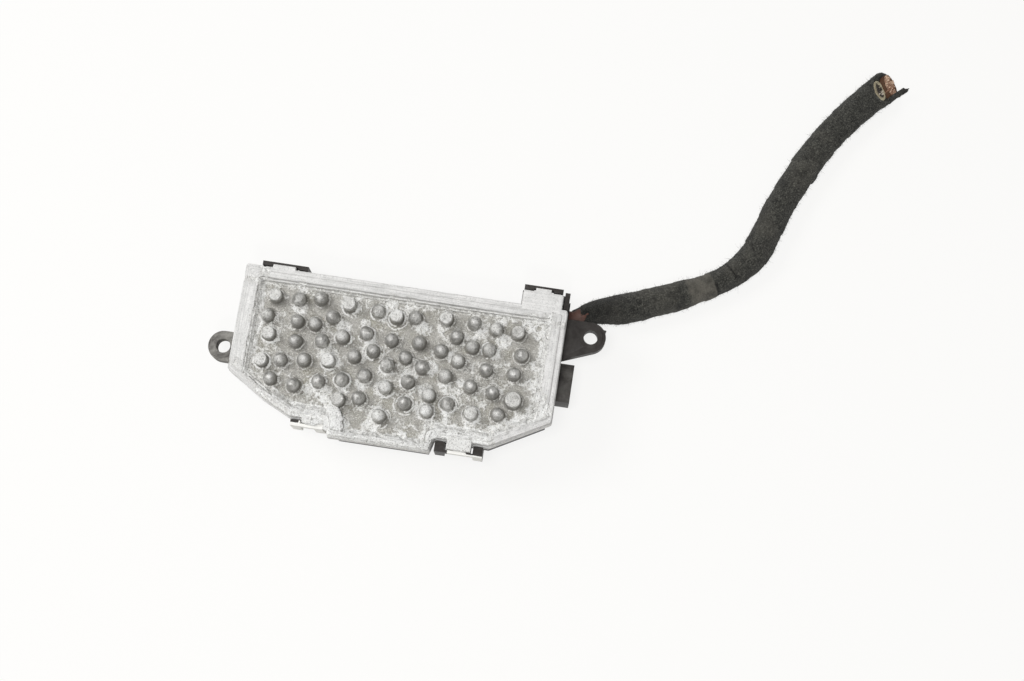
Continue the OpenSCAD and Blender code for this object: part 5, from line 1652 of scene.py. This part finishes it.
class RESISTOR_OT_set_stage(bpy.types.Operator):
    """Sets the camera at the picture's angle, the pale floor and the soft lamps"""

    bl_idname = "resistor.set_stage"
    bl_label = "Set Stage"

    def execute(self, context):
        scene = context.scene
        settings = scene.resistor_stage
        scene.view_settings.view_transform = "Standard"
        self.set_camera(scene, settings)
        self.hang_lamp(scene, "key_lamp", settings.key_power, 0.35, (-0.5, 0.14, 0.62), (0.01, 0.0, 0.01))
        self.hang_lamp(scene, "top_lamp", settings.top_power, 0.24, (-0.06, -0.12, 0.88), (0.02, 0.0, 0.0))
        self.hang_lamp(scene, "front_lamp", settings.front_power, 0.09, (0.05, -0.36, 0.8), (0.02, 0.0, 0.0))
        world = bpy.data.worlds.new("studio")
        world.use_nodes = True
        background = world.node_tree.nodes["Background"].inputs
        background["Color"].default_value = (1.0, 1.0, 1.0, 1.0)
        background["Strength"].default_value = settings.sky
        scene.world = world
        self.lay_floor(scene, settings)
        return {"FINISHED"}

    def set_camera(self, scene, settings):
        """Adds the camera, which looks at its aim from the elevation and with the picture turned to the
        part."""
        turn, tilt = settings.turn, math.pi / 2 - settings.elevation
        right = Vector((math.cos(turn), math.sin(turn), 0))
        back = Vector((math.sin(turn) * math.sin(tilt), -math.cos(turn) * math.sin(tilt), math.cos(tilt)))
        axes = Matrix((right, back.cross(right), back)).transposed().to_4x4()
        data = bpy.data.cameras.new("view")
        data.sensor_width = 36.0
        data.lens = data.sensor_width * FOCAL_PIXELS / PICTURE_WIDTH
        data.clip_start, data.clip_end = 0.01, 20.0
        camera = bpy.data.objects.new("view", data)
        scene.collection.objects.link(camera)
        camera.matrix_world = Matrix.Translation(Vector(to_metres(AIM)) + back * settings.distance) @ axes
        scene.camera = camera

    def hang_lamp(self, scene, name, power, size, place, target):
        """Adds a round lamp at a place that shines at its target."""
        light = bpy.data.lights.new(name, "AREA")
        light.energy, light.shape, light.size = power, "DISK", size
        lamp = bpy.data.objects.new(name, light)
        scene.collection.objects.link(lamp)
        lamp.location = place
        lamp.rotation_euler = (Vector(target) - Vector(place)).to_track_quat("-Z", "Y").to_euler()

    def lay_floor(self, scene, settings):
        """Adds the table. It glows pale where the camera sees it and is matt for the light that falls on
        the part."""
        side = FLOOR_SIZE
        corners = [(-side, -side, 0), (side, -side, 0), (side, side, 0), (-side, side, 0)]
        mesh = bpy.data.meshes.new("table")
        mesh.from_pydata(corners, [], [(0, 1, 2, 3)])
        floor = bpy.data.objects.new("table", mesh)
        scene.collection.objects.link(floor)
        material = bpy.data.materials.new("table_top")
        material.use_nodes = True
        tree = material.node_tree
        tree.nodes.remove(tree.nodes["Principled BSDF"])
        w = Wiring(tree)
        rays = w.put("ShaderNodeLightPath").outputs
        seen = w.larger(rays["Is Glossy Ray"], rays["Is Transmission Ray"])
        seen = w.times(w.larger(rays["Is Camera Ray"], seen), FLOOR_GLOW)
        matt = w.put("ShaderNodeBsdfDiffuse", {"Color": opaque(settings.floor_tone)}).outputs[0]
        glow = w.put("ShaderNodeEmission", {"Color": (1.0, 0.998, 0.99, 1.0), "Strength": 1.0}).outputs[0]
        both = w.put("ShaderNodeMixShader", {0: seen, 1: matt, 2: glow}).outputs[0]
        tree.links.new(both, tree.nodes["Material Output"].inputs["Surface"])
        mesh.materials.append(material)


class RESISTOR_PT_panel(bpy.types.Panel):
    """Lists the settings and the steps"""

    bl_label = "Blower Resistor"
    bl_idname = "RESISTOR_PT_panel"
    bl_space_type = "VIEW_3D"
    bl_region_type = "UI"
    bl_category = "Resistor"

    def draw(self, context):
        layout = self.layout
        for name in SETTINGS:
            group = getattr(context.scene, name)
            box = layout.box()
            for setting in group.__annotations__:
                box.prop(group, setting)
        for operator in OPERATORS:
            layout.operator(operator.bl_idname)


SETTINGS = {
    "resistor_stage": StageSettings, "resistor_loom": LoomSettings, "resistor_casting": CastingSettings,
    "resistor_housing": HousingSettings,
}
OPERATORS = [
    RESISTOR_OT_set_stage, RESISTOR_OT_finish_inner_parts, RESISTOR_OT_run_loom, RESISTOR_OT_cast_rim,
    RESISTOR_OT_cast_tray, RESISTOR_OT_grow_pins, RESISTOR_OT_cast_tab, RESISTOR_OT_grow_crust,
    RESISTOR_OT_mould_housing,
]


def register():
    """Makes the settings, the steps and the panel known to Blender."""
    for name, group in SETTINGS.items():
        bpy.utils.register_class(group)
        setattr(bpy.types.Scene, name, bpy.props.PointerProperty(type=group))
    for operator in OPERATORS:
        bpy.utils.register_class(operator)
    bpy.utils.register_class(RESISTOR_PT_panel)


def unregister():
    """Takes the panel, the steps and the settings out again."""
    bpy.utils.unregister_class(RESISTOR_PT_panel)
    for operator in reversed(OPERATORS):
        bpy.utils.unregister_class(operator)
    for name, group in SETTINGS.items():
        delattr(bpy.types.Scene, name)
        bpy.utils.unregister_class(group)


def main():
    """Runs every step in order."""
    register()
    bpy.ops.resistor.set_stage()
    bpy.ops.resistor.finish_inner_parts()
    bpy.ops.resistor.run_loom()
    bpy.ops.resistor.cast_rim()
    bpy.ops.resistor.cast_tray()
    bpy.ops.resistor.grow_pins()
    bpy.ops.resistor.cast_tab()
    bpy.ops.resistor.grow_crust()
    bpy.ops.resistor.mould_housing()


if __name__ == "__main__":
    main()
